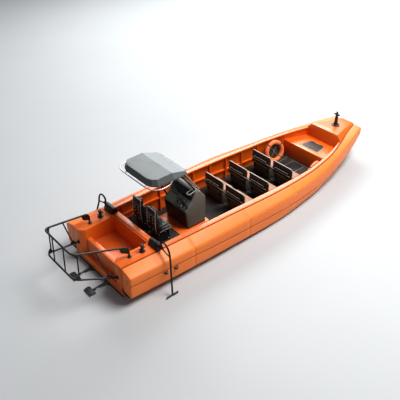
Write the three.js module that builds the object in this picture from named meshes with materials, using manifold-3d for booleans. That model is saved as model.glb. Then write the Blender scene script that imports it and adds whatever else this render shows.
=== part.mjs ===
// Rigid inflatable passenger boat: deep-V hull, foam collar, helm hardtop, three rows of benches,
// guarded stern with twin water jets.
// Millimetres. +X runs forward, +Y to port, +Z up. The origin is on the centreline at the waterline,
// below the aft end of the collars.

import * as THREE from 'three';
import { mergeVertices } from 'three/addons/utils/BufferGeometryUtils.js';
import Module from 'manifold-3d';

const wasm = await Module();
wasm.setup();

// Driving dimensions
const LENGTH = 12070;
const GAP = 0.3;
const PIN_PLAY = 0.3;
const PIN_SIDES = 24;
const STATIONS = 30;
const HULL_TOP = 80;
const PASSENGER_DECK = 130;
const WELL_FLOOR = 580;
const HELM_DECK = 530;
const FOREDECK = 780;
const QUARTER_DECK = 1180;

// Places along the boat
const WELL_AFT_X = 330;
const WELL_FORE_X = 1243;
const BULKHEAD_X = 1470;
const PLATFORM_END_X = 2760;
const PODIUM_END_X = 3950;
const PODIUM_HALF = 620;
const STEP_X = 9506;
const BOW_X = 10545;

// Hull lines at nine stations. All are heights above the waterline or half-breadths.
//   x: station            sheer: top of gunwale and groove    groove: groove between gunwale and collar
//   inner: inner edge of the gunwale      edgeY, edgeZ: outer top edge of the collar
//   rub: rubbing groove along the collar's side      lowY, lowZ: outer bottom edge of the collar
//   chineY, chineZ: hard chine      keel: keel line      seat: flat top of the bottom, under the decks
const LINE_NAMES = ['x', 'sheer', 'groove', 'inner', 'edgeY', 'edgeZ', 'rub', 'lowY', 'lowZ',
  'chineY', 'chineZ', 'keel', 'seat'];
const HULL_LINES = [
  [0, 1180, 1290, 1190, 1739, 1040, 735, 1735, 275, 1200, -40, -560, HULL_TOP],
  [2000, 1180, 1385, 1215, 1787, 943, 640, 1785, 205, 1260, -45, -570, HULL_TOP],
  [4000, 1160, 1465, 1280, 1822, 908, 550, 1815, 165, 1300, -50, -575, HULL_TOP],
  [6000, 1090, 1500, 1300, 1831, 897, 490, 1795, 95, 1290, -50, -565, HULL_TOP],
  [8000, 1030, 1400, 1250, 1673, 869, 415, 1600, 95, 1150, -30, -490, HULL_TOP],
  [9500, 1060, 1176, 1047, 1410, 950, 450, 1320, 215, 880, 20, -340, HULL_TOP],
  [10500, 1110, 860, 776, 1150, 1035, 530, 1050, 335, 600, 100, -130, 190],
  [11300, 1152, 545, 480, 915, 1105, 640, 810, 520, 370, 290, 150, 400],
  [LENGTH, 1180, 300, 240, 680, 1140, 890, 620, 770, 230, 640, 600, 720],
];

// Bow deck: half-breadth and height of the flat crown at its aft and fore edges
const CROWN_AFT = { y: 640, z: 1320 };
const CROWN_FORE = { y: 215, z: 1200 };

// Engines, each one plain block, standing in the bay under the helm deck
const ENGINE = { x: 1540, length: 1150, gap: 260, width: 560, foot: -220, height: 670 };

// Gunwale and bulwark
const WALL_SHARE = 0.5;
const GUNWALE_CAP = 70;
const RIB_WIDTH = 55;
const RIB_X = [1800, 2600, 3400, 4120, 4920, 5730, 6530, 7330, 8150, 8950];
const STRINGER_HEIGHT = 55;

// Side stringer: x, height of its underside; it falls gently forward, below the gunwale
const STRINGER_LINE = [[0, 745], [3000, 655], [5300, 525], [7600, 385], [LENGTH, 375]];

// Finishes
const paint = (color, roughness, metalness = 0) =>
  new THREE.MeshStandardMaterial({ color, roughness, metalness });
const ORANGE_PAINT = paint(0xe8742a, 0.45);
const ORANGE_COLLAR = paint(0xf08034, 0.55);
const DARK_HULL = paint(0x24262a, 0.5);
const BLACK_FRAME = paint(0x16171a, 0.45, 0.4);
const DECK_GREY = paint(0x3a3937, 0.8);
const CONSOLE_GREY = paint(0x55534f, 0.5);
const ROOF_GREY = paint(0xa9b0b3, 0.45);
const PALE_TUBE = paint(0xb9bbb4, 0.35, 0.6);
const BLACK_PAD = paint(0x1b1b1d, 0.75);
const TAN_PAD = paint(0xa9795a, 0.7);
const LIFE_ORANGE = paint(0xef7a3a, 0.6);
const JET_METAL = paint(0x8c9196, 0.4, 0.8);
const ENGINE_IRON = paint(0x6d7275, 0.6, 0.5);
const GLASS = new THREE.MeshStandardMaterial({
  color: 0x9fb4bd, roughness: 0.1, transparent: true, opacity: 0.35,
});

const boat = new THREE.Group();

function place(name, geometry, material) {
  const mesh = new THREE.Mesh(geometry, material);
  mesh.name = name;
  boat.add(mesh);
  return mesh;
}

// Solids: joining and cutting

function solid(geometry) {
  const bare = geometry.clone();
  bare.deleteAttribute('normal');
  bare.deleteAttribute('uv');
  const merged = mergeVertices(bare, 1e-3);
  return new wasm.Manifold(new wasm.Mesh({
    numProp: 3,
    vertProperties: new Float32Array(merged.attributes.position.array),
    triVerts: new Uint32Array(merged.index.array),
  }));
}

function shape(manifold) {
  const mesh = manifold.getMesh();
  const geometry = new THREE.BufferGeometry();
  geometry.setAttribute('position', new THREE.BufferAttribute(mesh.vertProperties, 3));
  geometry.setIndex(new THREE.BufferAttribute(mesh.triVerts, 1));
  geometry.computeVertexNormals();
  return geometry;
}

function join(...solids) {
  return solids.reduce((whole, piece) => whole.add(piece));
}

function cut(whole, ...tools) {
  return tools.reduce((rest, tool) => rest.subtract(tool), whole);
}

// A block between two corners
function block(x0, x1, y0, y1, z0, z1) {
  const box = new THREE.BoxGeometry(x1 - x0, y1 - y0, z1 - z0);
  box.translate((x0 + x1) / 2, (y0 + y1) / 2, (z0 + z1) / 2);
  return solid(box);
}

// A plate standing on a side outline [x, z], from y0 to y1
function sidePlate(outline, y0, y1) {
  const face = new THREE.Shape(outline.map(([x, z]) => new THREE.Vector2(x, z)));
  const plate = new THREE.ExtrudeGeometry(face, { depth: y1 - y0, bevelEnabled: false });
  plate.rotateX(Math.PI / 2);
  plate.translate(0, y1, 0);
  return solid(plate);
}

// A plate lying on a plan outline [x, y], from z0 to z1
function planPlate(outline, z0, z1) {
  const face = new THREE.Shape(outline.map(([x, y]) => new THREE.Vector2(x, y)));
  const plate = new THREE.ExtrudeGeometry(face, { depth: z1 - z0, bevelEnabled: false });
  plate.translate(0, 0, z0);
  return solid(plate);
}

// A round bar, or a cone, between two points
function bar(from, to, radius, sides = 8, endRadius = radius) {
  const start = new THREE.Vector3(...from);
  const run = new THREE.Vector3(...to).sub(start);
  const rod = new THREE.CylinderGeometry(endRadius, radius, run.length(), sides);
  rod.translate(0, run.length() / 2, 0);
  rod.applyQuaternion(new THREE.Quaternion().setFromUnitVectors(
    new THREE.Vector3(0, 1, 0), run.clone().normalize()));
  rod.translate(start.x, start.y, start.z);
  return solid(rod);
}

// A path through given points, met exactly
class PointPath extends THREE.Curve {
  constructor(points) {
    super();
    this.points = points;
  }

  getPointAt(u) {
    return this.points[Math.round(u * (this.points.length - 1))].clone();
  }

  getTangentAt(u) {
    const i = Math.round(u * (this.points.length - 1));
    const before = this.points[Math.max(i - 1, 0)];
    const after = this.points[Math.min(i + 1, this.points.length - 1)];
    const here = this.points[i];
    const into = here.clone().sub(before).normalize();
    const out = after.clone().sub(here).normalize();
    return into.add(out).normalize();
  }
}

// Corner points with each inner corner rounded by an arc of the given radius
function rounded(corners, radius, steps = 4) {
  const points = corners.map((corner) => new THREE.Vector3(...corner));
  const path = [points[0]];
  for (let i = 1; i < points.length - 1; i += 1) {
    const back = points[i - 1].clone().sub(points[i]);
    const ahead = points[i + 1].clone().sub(points[i]);
    const reach = Math.min(radius, back.length() / 2.2, ahead.length() / 2.2);
    const start = points[i].clone().addScaledVector(back.normalize(), reach);
    const end = points[i].clone().addScaledVector(ahead.normalize(), reach);
    const bend = new THREE.QuadraticBezierCurve3(start, points[i], end);
    path.push(...bend.getPoints(steps));
  }
  path.push(points[points.length - 1]);
  return path;
}

// A bent tube of one radius along rounded corners
function tube(corners, radius, bendRadius, sides = 8, steps = 4) {
  const path = rounded(corners, bendRadius, steps);
  const ring = [];
  for (let k = 0; k < sides; k += 1) {
    const angle = (2 * Math.PI * k) / sides;
    ring.push(new THREE.Vector2(radius * Math.cos(angle), radius * Math.sin(angle)));
  }
  return solid(new THREE.ExtrudeGeometry(new THREE.Shape(ring), {
    steps: path.length - 1, extrudePath: new PointPath(path), bevelEnabled: false,
  }));
}

// Hull lines

function column(name) {
  return LINE_NAMES.indexOf(name);
}

// Monotone cubic through a column of the table, so that a level stretch stays level
function fair(name, x) {
  const c = column(name);
  const rows = HULL_LINES;
  const slope = (i) => (rows[i + 1][c] - rows[i][c]) / (rows[i + 1][0] - rows[i][0]);
  const tangent = (i) => {
    if (i === 0) return slope(0);
    if (i === rows.length - 1) return slope(i - 1);
    const a = slope(i - 1);
    const b = slope(i);
    return a * b > 0 ? (2 * a * b) / (a + b) : 0;
  };
  let i = 0;
  while (i < rows.length - 2 && x > rows[i + 1][0]) i += 1;
  const span = rows[i + 1][0] - rows[i][0];
  const t = (x - rows[i][0]) / span;
  const [p, q] = [rows[i][c], rows[i + 1][c]];
  const [m, n] = [tangent(i) * span, tangent(i + 1) * span];
  return (2 * t ** 3 - 3 * t ** 2 + 1) * p + (t ** 3 - 2 * t ** 2 + t) * m
    + (-2 * t ** 3 + 3 * t ** 2) * q + (t ** 3 - t ** 2) * n;
}

const STATION_X = Array.from({ length: STATIONS + 1 }, (_, i) => (LENGTH * i) / STATIONS);

// A hull line between stations is straight, so pieces that share a line also share its facets
function line(name, x) {
  const at = Math.min(Math.max(x, 0), LENGTH) / (LENGTH / STATIONS);
  const i = Math.min(Math.floor(at), STATIONS - 1);
  return THREE.MathUtils.lerp(fair(name, STATION_X[i]), fair(name, STATION_X[i + 1]), at - i);
}

function wallLine(x) {
  return THREE.MathUtils.lerp(line('inner', x), line('groove', x), WALL_SHARE);
}

// A body from x0 to x1 whose section at each station is a closed outline [y, z]
function loft(x0, x1, section) {
  const stations = [x0, ...STATION_X.filter((x) => x > x0 + 1 && x < x1 - 1), x1];
  const faces = stations.map((x) => section(x).map(([y, z]) => new THREE.Vector2(y, z)));
  if (THREE.ShapeUtils.isClockWise(faces[0])) faces.forEach((face) => face.reverse());
  const count = faces[0].length;
  const positions = faces.flatMap((face, i) => face.flatMap((p) => [stations[i], p.x, p.y]));
  const index = [];
  for (let i = 0; i < stations.length - 1; i += 1) {
    for (let k = 0; k < count; k += 1) {
      const a = i * count + k;
      const b = i * count + ((k + 1) % count);
      index.push(a, b, a + count, b, b + count, a + count);
    }
  }
  const last = (stations.length - 1) * count;
  for (const [a, b, c] of THREE.ShapeUtils.triangulateShape(faces[0], [])) index.push(a, c, b);
  for (const [a, b, c] of THREE.ShapeUtils.triangulateShape(faces[stations.length - 1], [])) {
    index.push(a + last, b + last, c + last);
  }
  const geometry = new THREE.BufferGeometry();
  geometry.setAttribute('position', new THREE.Float32BufferAttribute(positions, 3));
  geometry.setIndex(index);
  return solid(geometry);
}

const mirrored = (outline) => [...outline, ...outline.map(([y, z]) => [-y, z]).reverse()];
const SIDES = [['port', 1], ['starboard', -1]];

// Hull

// The deep-V bottom, decked over, with a bay for the two engines
function hullBottom() {
  const bottom = loft(0, LENGTH, (x) => [
    [0, line('keel', x)],
    [line('chineY', x), line('chineZ', x)],
    [line('groove', x), line('seat', x)],
    [-line('groove', x), line('seat', x)],
    [-line('chineY', x), line('chineZ', x)],
  ]);
  const { x, length, gap, width, foot } = ENGINE;
  const reach = gap / 2 + width + 40;
  return cut(bottom, block(x - 100, x + length + 100, -reach, reach, foot - GAP, HULL_TOP + 50));
}

function engine(side) {
  const { x, length, gap, width, foot, height } = ENGINE;
  const [near, far] = [side * gap / 2, side * (gap / 2 + width)];
  return block(x, x + length, Math.min(near, far), Math.max(near, far), foot, foot + height);
}

// Two lugs under the rubbing groove, either side of the arm: places along the boat, and their size
const LUG = { places: [1225, 1600], length: 110, height: 44, standOut: 75, eye: 15 };

function collarLugs(side) {
  const { places, length, height, standOut, eye } = LUG;
  return places.map((x) => {
    const y = side * line('edgeY', x);
    const z = line('rub', x) - 78;
    const lug = planPlate([
      [x - length / 2, y - side * 30], [x + length / 2, y - side * 30],
      [x + length / 2 - 30, y + side * standOut], [x - length / 2 + 30, y + side * standOut],
    ], z, z + height);
    const eyeY = y + side * (standOut - 30);
    return cut(lug, bar([x, eyeY, z - 5], [x, eyeY, z + height + 5], eye));
  });
}

// The collar's foam, with a shallow notch along the gunwale and another along the rubbing groove
function collar(side) {
  const notch = 14;
  const foam = loft(0, LENGTH, (x) => [
    [side * (line('groove', x) + GAP), line('sheer', x) - 2 * notch],
    [side * (line('groove', x) + notch), line('sheer', x) - notch / 2],
    [side * line('edgeY', x), line('edgeZ', x)],
    [side * line('edgeY', x), line('rub', x) + notch],
    [side * (line('edgeY', x) - 1.4 * notch), line('rub', x)],
    [side * (line('edgeY', x) - 4), line('rub', x) - notch],
    [side * line('lowY', x), line('lowZ', x)],
    [side * (line('groove', x) + GAP), line('lowZ', x) - 5],
  ]);
  return join(foam, ...collarLugs(side));
}

function stringerFoot(x) {
  const i = STRINGER_LINE.findIndex(([at]) => at > x);
  const [[fromX, fromZ], [toX, toZ]] = [STRINGER_LINE[i - 1], STRINGER_LINE[i]];
  return THREE.MathUtils.mapLinear(x, fromX, toX, fromZ, toZ);
}

function bulwark(side) {
  const x0 = BULKHEAD_X + GAP;
  const wall = loft(x0, BOW_X, (x) => [
    [side * line('groove', x), line('seat', x) + GAP],
    [side * line('groove', x), line('sheer', x)],
    [side * line('inner', x), line('sheer', x)],
    [side * line('inner', x), line('sheer', x) - GUNWALE_CAP],
    [side * wallLine(x), line('sheer', x) - GUNWALE_CAP],
    [side * wallLine(x), line('seat', x) + GAP],
  ]);
  const reach = loft(x0, STEP_X - 10, (x) => [
    [side * (wallLine(x) + 5), PASSENGER_DECK + 10],
    [side * (wallLine(x) + 5), line('sheer', x) - GUNWALE_CAP / 2],
    [side * (line('inner', x) + 8), line('sheer', x) - GUNWALE_CAP / 2],
    [side * (line('inner', x) + 8), PASSENGER_DECK + 10],
  ]);
  const stringer = loft(x0, STEP_X - 10, (x) => {
    const z = stringerFoot(x);
    return [
      [side * (wallLine(x) + 5), z],
      [side * (wallLine(x) + 5), z + STRINGER_HEIGHT],
      [side * (line('inner', x) + 25), z + STRINGER_HEIGHT],
      [side * (line('inner', x) + 25), z],
    ];
  });
  const ribs = RIB_X.map((x) => {
    const foot = (x < PLATFORM_END_X ? HELM_DECK : PASSENGER_DECK) + 15;
    const near = Math.min(side * 900, side * 1600);
    return block(x - RIB_WIDTH / 2, x + RIB_WIDTH / 2, near, near + 700, foot, 1300).intersect(reach);
  });
  return join(wall, stringer, ...ribs);
}

// The quarters and the well: a block with the well, the transom's notch and its low top cut out
function sternModule() {
  const innerAft = 835;
  const innerFore = 887;
  const chamfer = 150;
  const ledgeTop = 330;
  const transomAft = 180;
  const transomTop = 830;
  const above = QUARTER_DECK + 100;
  const body = loft(0, BULKHEAD_X, (x) => mirrored([
    [line('groove', x), line('seat', x) + GAP],
    [line('groove', x), QUARTER_DECK],
  ]));
  const lip = block(BULKHEAD_X - 180, BULKHEAD_X, -930, 930, QUARTER_DECK - 20, QUARTER_DECK + 25);
  const well = planPlate([
    [WELL_AFT_X, -innerAft - 8], [WELL_FORE_X, -innerFore], [WELL_FORE_X, innerFore],
    [WELL_AFT_X, innerAft + 8],
  ], WELL_FLOOR, above);
  const notch = planPlate([
    [-10, -innerAft - chamfer], [chamfer, -innerAft], [transomAft, -innerAft],
    [transomAft, innerAft], [chamfer, innerAft], [-10, innerAft + chamfer],
  ], ledgeTop, above);
  const mouth = block(transomAft - 20, WELL_AFT_X + 20, -innerAft, innerAft, transomTop, above);
  return cut(join(body, lip), well, notch, mouth);
}

// The raised helm deck, open below: a platform from side to side over the engines, and a narrower
// podium forward of it for the console, with a walkway at passenger level on each side
function helmDeck() {
  const skin = 40;
  const x0 = BULKHEAD_X + GAP;
  const platform = loft(x0, PLATFORM_END_X, (x) => mirrored([
    [wallLine(x) - GAP, HULL_TOP + GAP], [wallLine(x) - GAP, HELM_DECK],
  ]));
  const podium = block(PLATFORM_END_X - skin, PODIUM_END_X, -PODIUM_HALF, PODIUM_HALF,
    HULL_TOP + GAP, HELM_DECK);
  const below = loft(x0 + skin, PLATFORM_END_X - skin, (x) => mirrored([
    [wallLine(x) - GAP - skin, HULL_TOP - 20], [wallLine(x) - GAP - skin, HELM_DECK - skin],
  ]));
  const inside = PODIUM_HALF - skin;
  return cut(join(platform, podium), below,
    block(PLATFORM_END_X - 2 * skin, PODIUM_END_X - skin, -inside, inside, HULL_TOP - 20, HELM_DECK - skin));
}

function passengerDeck() {
  const deck = loft(PLATFORM_END_X + GAP, STEP_X, (x) => mirrored([
    [wallLine(x) - GAP, line('seat', x) + GAP], [wallLine(x) - GAP, PASSENGER_DECK],
  ]));
  return cut(deck, block(PLATFORM_END_X - 10, PODIUM_END_X + GAP, -PODIUM_HALF - GAP, PODIUM_HALF + GAP,
    0, PASSENGER_DECK + 20));
}

// Foredeck step with the locker and the recess for its lid
const HATCH = {
  aftX: 9700, foreX: 10270, aftY: 438, foreY: 347, thick: 30, clear: 6, ledge: 45, deep: 400,
};

function hatchOutline(inset) {
  const { aftX, foreX, aftY, foreY } = HATCH;
  return [
    [aftX + inset, -aftY + inset], [foreX - inset, -foreY + inset],
    [foreX - inset, foreY - inset], [aftX + inset, aftY - inset],
  ];
}

function foredeckStep() {
  const body = loft(STEP_X + GAP, BOW_X, (x) => mirrored([
    [wallLine(x) - GAP, line('seat', x) + GAP], [wallLine(x) - GAP, FOREDECK],
  ]));
  const recess = planPlate(hatchOutline(0), FOREDECK - HATCH.thick - GAP, FOREDECK + 50);
  const locker = planPlate(hatchOutline(HATCH.ledge), FOREDECK - HATCH.deep, FOREDECK);
  return cut(body, recess, locker);
}

function hatchLid() {
  return planPlate(hatchOutline(HATCH.clear), FOREDECK - HATCH.thick, FOREDECK + 4);
}

function bowBlock() {
  const crown = (x) => {
    const t = (x - BOW_X) / (LENGTH - BOW_X);
    return ['y', 'z'].map((k) => THREE.MathUtils.lerp(CROWN_AFT[k], CROWN_FORE[k], t));
  };
  return loft(BOW_X + GAP, LENGTH, (x) => mirrored([
    [line('groove', x), line('seat', x) + GAP], [line('groove', x), line('sheer', x)], crown(x),
  ]));
}

// Bow post: flanged, tapered, with a cross bar
const POST = { x: 11250, flange: 165, pad: 130, foot: 76, neck: 46, height: 500, head: 590, armReach: 115 };

function bowPost() {
  const { x, flange, pad, foot, neck, height, head, armReach } = POST;
  const t = (x - BOW_X) / (LENGTH - BOW_X);
  const deck = THREE.MathUtils.lerp(CROWN_AFT.z, CROWN_FORE.z, t) + GAP;
  const seat = bowBlock().translate([0, 0, GAP]);
  return join(
    bar([x, 0, deck + 14], [x, 0, deck + 40], flange, 16),
    bar([x, 0, deck + 20], [x, 0, deck + height], foot, 12, neck),
    bar([x, -armReach, deck + height - 30], [x, armReach, deck + height - 30], 32),
    bar([x, 0, deck + height - 20], [x, 0, deck + head], neck - 2, 12, 32),
    cut(bar([x, 0, deck - 60], [x, 0, deck + 24], pad, 16), seat),
  );
}

// Helm hardtop
const ROOF = { aftX: 1640, foreX: 2955, top: 3110, ridgeX: 2370, foreTop: 2945, rim: 2925 };

function canopyRoof() {
  const { aftX, foreX, top, ridgeX, foreTop, rim } = ROOF;
  // x, half-breadth, height of the upper ring, then the same for the rim ring below it
  const upper = [
    [aftX, 480, top - 10], [aftX + 60, 640, top - 6], [aftX + 175, 735, top - 3], [ridgeX, 745, top],
    [foreX - 90, 700, foreTop + 5], [foreX, 614, foreTop],
  ];
  const lower = [
    [aftX - 45, 500, rim], [aftX + 25, 680, rim], [aftX + 165, 800, rim], [ridgeX, 830, rim],
    [foreX - 60, 795, rim - 20], [foreX + 10, 640, rim - 5],
  ];
  const ring = (half) => [...half, ...half.map(([x, y, z]) => [x, -y, z]).reverse()];
  const high = ring(upper);
  const low = ring(lower);
  const base = low.map(([x, y]) => [x, y, rim - 45]);
  const rings = [base, low, high];
  const n = high.length;
  const positions = rings.flat(2);
  const index = [];
  for (let r = 0; r < rings.length - 1; r += 1) {
    for (let k = 0; k < n; k += 1) {
      const a = r * n + k;
      const b = r * n + ((k + 1) % n);
      index.push(a, a + n, b, b, a + n, b + n);
    }
  }
  // the top and the underside as strips across the boat
  for (const [r, flip] of [[0, true], [2, false]]) {
    for (let k = 0; k < n / 2 - 1; k += 1) {
      const [a, b, c, d] = [k, k + 1, n - 2 - k, n - 1 - k].map((v) => v + r * n);
      const faces = [[a, d, b], [b, d, c]];
      for (const face of faces) index.push(...(flip ? face.reverse() : face));
    }
  }
  const geometry = new THREE.BufferGeometry();
  geometry.setAttribute('position', new THREE.Float32BufferAttribute(positions, 3));
  geometry.setIndex(index);
  return solid(geometry);
}

const ROOF_UNDER = ROOF.rim - 45;

// Pale handrail round the after part of the hardtop: half its plan [x, y], and on each side two brackets,
// each from the rail [x, y] inboard to where it turns up under the roof
const RAIL = {
  height: 2880, radius: 17, bend: 90, bracket: 12,
  half: [[2330, 800], [2140, 925], [1810, 950], [1590, 830], [1515, 620]],
  brackets: [[[1530, 500], [1640, 480]], [[2240, 858], [2240, 790]]],
};

function roofRail() {
  const { height, radius, bend, bracket, half, brackets } = RAIL;
  const corners = [...half, ...half.map(([x, y]) => [x, -y]).reverse()].map(([x, y]) => [x, y, height]);
  const under = ROOF_UNDER - GAP;
  const arms = SIDES.flatMap(([, side]) => brackets.map((ends) => {
    const [rail, turn] = ends.map(([x, y]) => [x, side * y, height]);
    return join(bar(rail, turn, bracket, 6), bar(turn, [turn[0], turn[1], under], bracket, 6));
  }));
  return cut(join(tube(corners, radius, bend, 8, 3), ...arms),
    block(1500, 2500, -990, 990, under, under + 100));
}

// Helm console: aft face leaning in to its foot, sloping dash, steeper panel, hood and fore face in one
// side outline
const CONSOLE = {
  footX: 3100, foreX: 3850, halfWidth: 565, lip: [2990, 1250], bend: [3270, 1540],
  hood: 1840, hoodAftX: 3420, hoodX: 3600, foreTop: 1510,
};

function consoleBody() {
  const { footX, foreX, halfWidth, lip, bend, hood, hoodAftX, hoodX, foreTop } = CONSOLE;
  const foot = HELM_DECK + GAP;
  return sidePlate([
    [footX, foot], lip, bend, [hoodAftX, hood], [hoodX, hood], [foreX, foreTop], [foreX, foot],
  ], -halfWidth, halfWidth);
}

// Pale windscreen frame: four straight tubes in the screen's plane, and a hand loop aft of it each side
const SCREEN = {
  topX: 2880, topY: 590, footX: 3560, footY: 540, footZ: 1915, radius: 20, headShare: 0.95,
};
const HAND_LOOP = { aftX: 3160, innerY: 400, drop: 75, bend: 50 };

function screenSurround(radius) {
  const { topX, topY, footX, footY, footZ, headShare } = SCREEN;
  const foot = (side) => [footX, side * footY, footZ];
  const top = (side) => [topX, side * topY, ROOF_UNDER - GAP];
  const head = (side) => foot(side).map((v, k) => THREE.MathUtils.lerp(v, top(side)[k], headShare));
  return join(
    bar(foot(-1), foot(1), radius, 10), bar(head(-1), head(1), radius, 10),
    ...SIDES.map(([, side]) => bar(foot(side), top(side), radius, 10)),
  );
}

function handLoop(side, radius) {
  const { footX, footY, footZ } = SCREEN;
  const { aftX, innerY, drop, bend } = HAND_LOOP;
  return tube([[footX, side * footY, footZ], [aftX, side * footY, footZ - drop],
    [aftX, side * innerY, footZ - drop], [footX, side * innerY, footZ]], radius, bend);
}

function windscreenFrame() {
  const { topX, topY, footX, footY, footZ, radius } = SCREEN;
  const fittings = SIDES.map(([, side]) => join(
    handLoop(side, radius),
    bar([footX - 12, side * footY, footZ], [footX - 12, side * footY, CONSOLE.hood - 20], radius),
    bar([topX, side * topY, ROOF_UNDER - 12 - GAP], [topX, side * topY, ROOF_UNDER - GAP], 52, 10),
  ));
  return cut(join(screenSurround(radius), ...fittings), consoleBody().translate([-GAP / 2, 0, GAP]),
    block(2500, 3200, -900, 900, ROOF_UNDER - GAP, ROOF_UNDER + 60));
}

function windscreenGlass() {
  const { topX, topY, footX, footY, footZ, radius, headShare } = SCREEN;
  const thick = 6;
  const pane = [-1, 1].flatMap((side) => {
    const foot = [footX, side * footY, footZ];
    const top = [topX, side * topY, ROOF_UNDER - GAP];
    const head = foot.map((v, k) => THREE.MathUtils.lerp(v, top[k], headShare));
    return side < 0 ? [foot, head] : [head, foot];
  });
  return cut(plate(pane, thick), screenSurround(radius + GAP),
    ...SIDES.map(([, side]) => handLoop(side, radius + GAP)));
}

// Dark struts that carry the hardtop: two raked legs each side, tied across under the roof
const STRUT = {
  foreFootX: 3510, aftFootX: 3145, aftFootZ: 1280, foreTopX: 2740, aftTopX: 2340,
  foreY: 470, aftY: 525, topY: 520, radius: 26, tie: 22,
};

function canopyStruts() {
  const { foreFootX, aftFootX, aftFootZ, foreTopX, aftTopX, foreY, aftY, topY, radius, tie } = STRUT;
  const top = ROOF_UNDER - GAP;
  const tieZ = top - tie;
  const legs = SIDES.map(([, side]) => join(
    bar([foreFootX, side * foreY, CONSOLE.hood - 60], [foreTopX, side * topY, top + 20], radius),
    bar([aftFootX, side * aftY, aftFootZ], [aftTopX, side * topY, top + 20], radius),
    bar([aftTopX - 80, side * topY, tieZ], [foreTopX + 80, side * topY, tieZ], tie),
  ));
  const ties = [aftTopX, foreTopX].map((x) => bar([x, -topY, tieZ], [x, topY, tieZ], tie));
  return cut(join(...legs, ...ties), consoleBody().translate([-GAP, 0, GAP]),
    block(1900, 3200, -900, 900, top, top + 90));
}

// A flat plate through given corners in one plane, centred on them
function plate(corners, thickness) {
  const points = corners.map((corner) => new THREE.Vector3(...corner));
  const u = points[1].clone().sub(points[0]).normalize();
  const n = u.clone().cross(points[2].clone().sub(points[0])).normalize();
  const v = n.clone().cross(u);
  const flat = points.map((p) => {
    const d = p.clone().sub(points[0]);
    return new THREE.Vector2(d.dot(u), d.dot(v));
  });
  const body = new THREE.ExtrudeGeometry(new THREE.Shape(flat), { depth: thickness, bevelEnabled: false });
  body.translate(0, 0, -thickness / 2);
  body.applyMatrix4(new THREE.Matrix4().makeBasis(u, v, n).setPosition(points[0]));
  return solid(body);
}

// Steering wheel on its short column, square to the dash
const WHEEL = { y: -300, radius: 165, rim: 14, standOff: 120, share: 0.5 };

function dashFrame() {
  const { lip, bend } = CONSOLE;
  const slope = Math.atan2(bend[1] - lip[1], bend[0] - lip[0]);
  const axis = new THREE.Vector3(-Math.sin(slope), 0, Math.cos(slope));
  const [x, z] = lip.map((low, k) => THREE.MathUtils.lerp(low, bend[k], WHEEL.share));
  return { axis, seat: new THREE.Vector3(x, WHEEL.y, z) };
}

function steeringWheel() {
  const { radius, rim, standOff } = WHEEL;
  const { axis, seat } = dashFrame();
  const turn = new THREE.Matrix4().makeRotationFromQuaternion(
    new THREE.Quaternion().setFromUnitVectors(new THREE.Vector3(0, 0, 1), axis));
  turn.setPosition(seat.clone().addScaledVector(axis, standOff));
  const ring = new THREE.TorusGeometry(radius, rim, 8, 24);
  ring.applyMatrix4(turn);
  const at = (x, y, z) => new THREE.Vector3(x, y, z).applyMatrix4(turn).toArray();
  const spokes = [90, 210, 330].map((degrees) => {
    const angle = THREE.MathUtils.degToRad(degrees);
    return bar(at(0, 0, -12), at(radius * Math.cos(angle), radius * Math.sin(angle), 0), 10, 6);
  });
  return join(solid(ring), ...spokes, bar(at(0, 0, -standOff + GAP), at(0, 0, 14), 24, 12));
}

function throttleLever() {
  const { axis, seat } = dashFrame();
  const foot = seat.clone().setY(-60).addScaledVector(axis, GAP);
  const box = bar(foot.toArray(), foot.clone().addScaledVector(axis, 55).toArray(), 55, 4);
  const top = foot.clone().addScaledVector(axis, 40);
  const levers = [-22, 22].map((y) => bar(
    [top.x, top.y + y, top.z], [top.x - 30, top.y + y, top.z + 130], 9, 6));
  const grip = bar([top.x - 30, top.y - 40, top.z + 130], [top.x - 30, top.y + 40, top.z + 130], 16, 8);
  return join(box, ...levers, grip);
}

// Helm seats: pedestal, shell with arm rests, and one pad each
const SEAT = { y: 370, backX: 1810, halfWidth: 215, pan: 990, top: 1875 };
const MAT_THICK = 12;

function helmMat() {
  return loft(BULKHEAD_X + 5, 2730, (x) => mirrored([
    [wallLine(x) - 60, HELM_DECK + GAP], [wallLine(x) - 60, HELM_DECK + MAT_THICK],
  ]));
}

function helmSeatFrame(side) {
  const { y, backX, halfWidth, pan, top } = SEAT;
  const mid = side * y;
  const foot = HELM_DECK + MAT_THICK + GAP;
  const pedestal = sidePlate([
    [backX + 60, foot], [backX + 560, foot], [backX + 560, foot + 60], [backX + 440, pan - 80],
    [backX + 520, pan], [backX + 60, pan],
  ], mid - halfWidth + 45, mid + halfWidth - 45);
  const shell = sidePlate([
    [backX + 20, pan - 20], [backX + 600, pan - 20], [backX + 600, pan + 30], [backX + 130, pan + 30],
    [backX + 60, top], [backX, top], [backX - 20, pan + 300],
  ], mid - halfWidth, mid + halfWidth);
  const arms = [-1, 1].map((edge) => {
    const [a, b] = [mid + edge * halfWidth, mid + edge * (halfWidth + 45)];
    return sidePlate([
      [backX + 40, pan + 60], [backX + 110, pan + 60], [backX + 110, pan + 240], [backX + 430, pan + 240],
      [backX + 430, pan + 285], [backX + 40, pan + 285],
    ], Math.min(a, b), Math.max(a, b));
  });
  return join(pedestal, shell, ...arms);
}

function helmSeatPad(side) {
  const { y, backX, halfWidth, pan, top } = SEAT;
  return sidePlate([
    [backX + 130 + GAP, pan + 30 + GAP], [backX + 590, pan + 30 + GAP], [backX + 590, pan + 130],
    [backX + 240, pan + 140], [backX + 165, top - 20], [backX + 62 + GAP, top - 20],
  ], side * y - halfWidth + 15, side * y + halfWidth - 15);
}

// Passenger benches: three rows of two, facing forward
const ROW_X = [5225, 6390, 7615];
const BENCH = {
  inner: 75, outer: 985, boxInner: 130, boxOuter: 930, depth: 540, boxTop: 590, padTop: 690,
  padBack: 1030, boardLow: 600, boardTop: 1125, board: 35,
};

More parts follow.
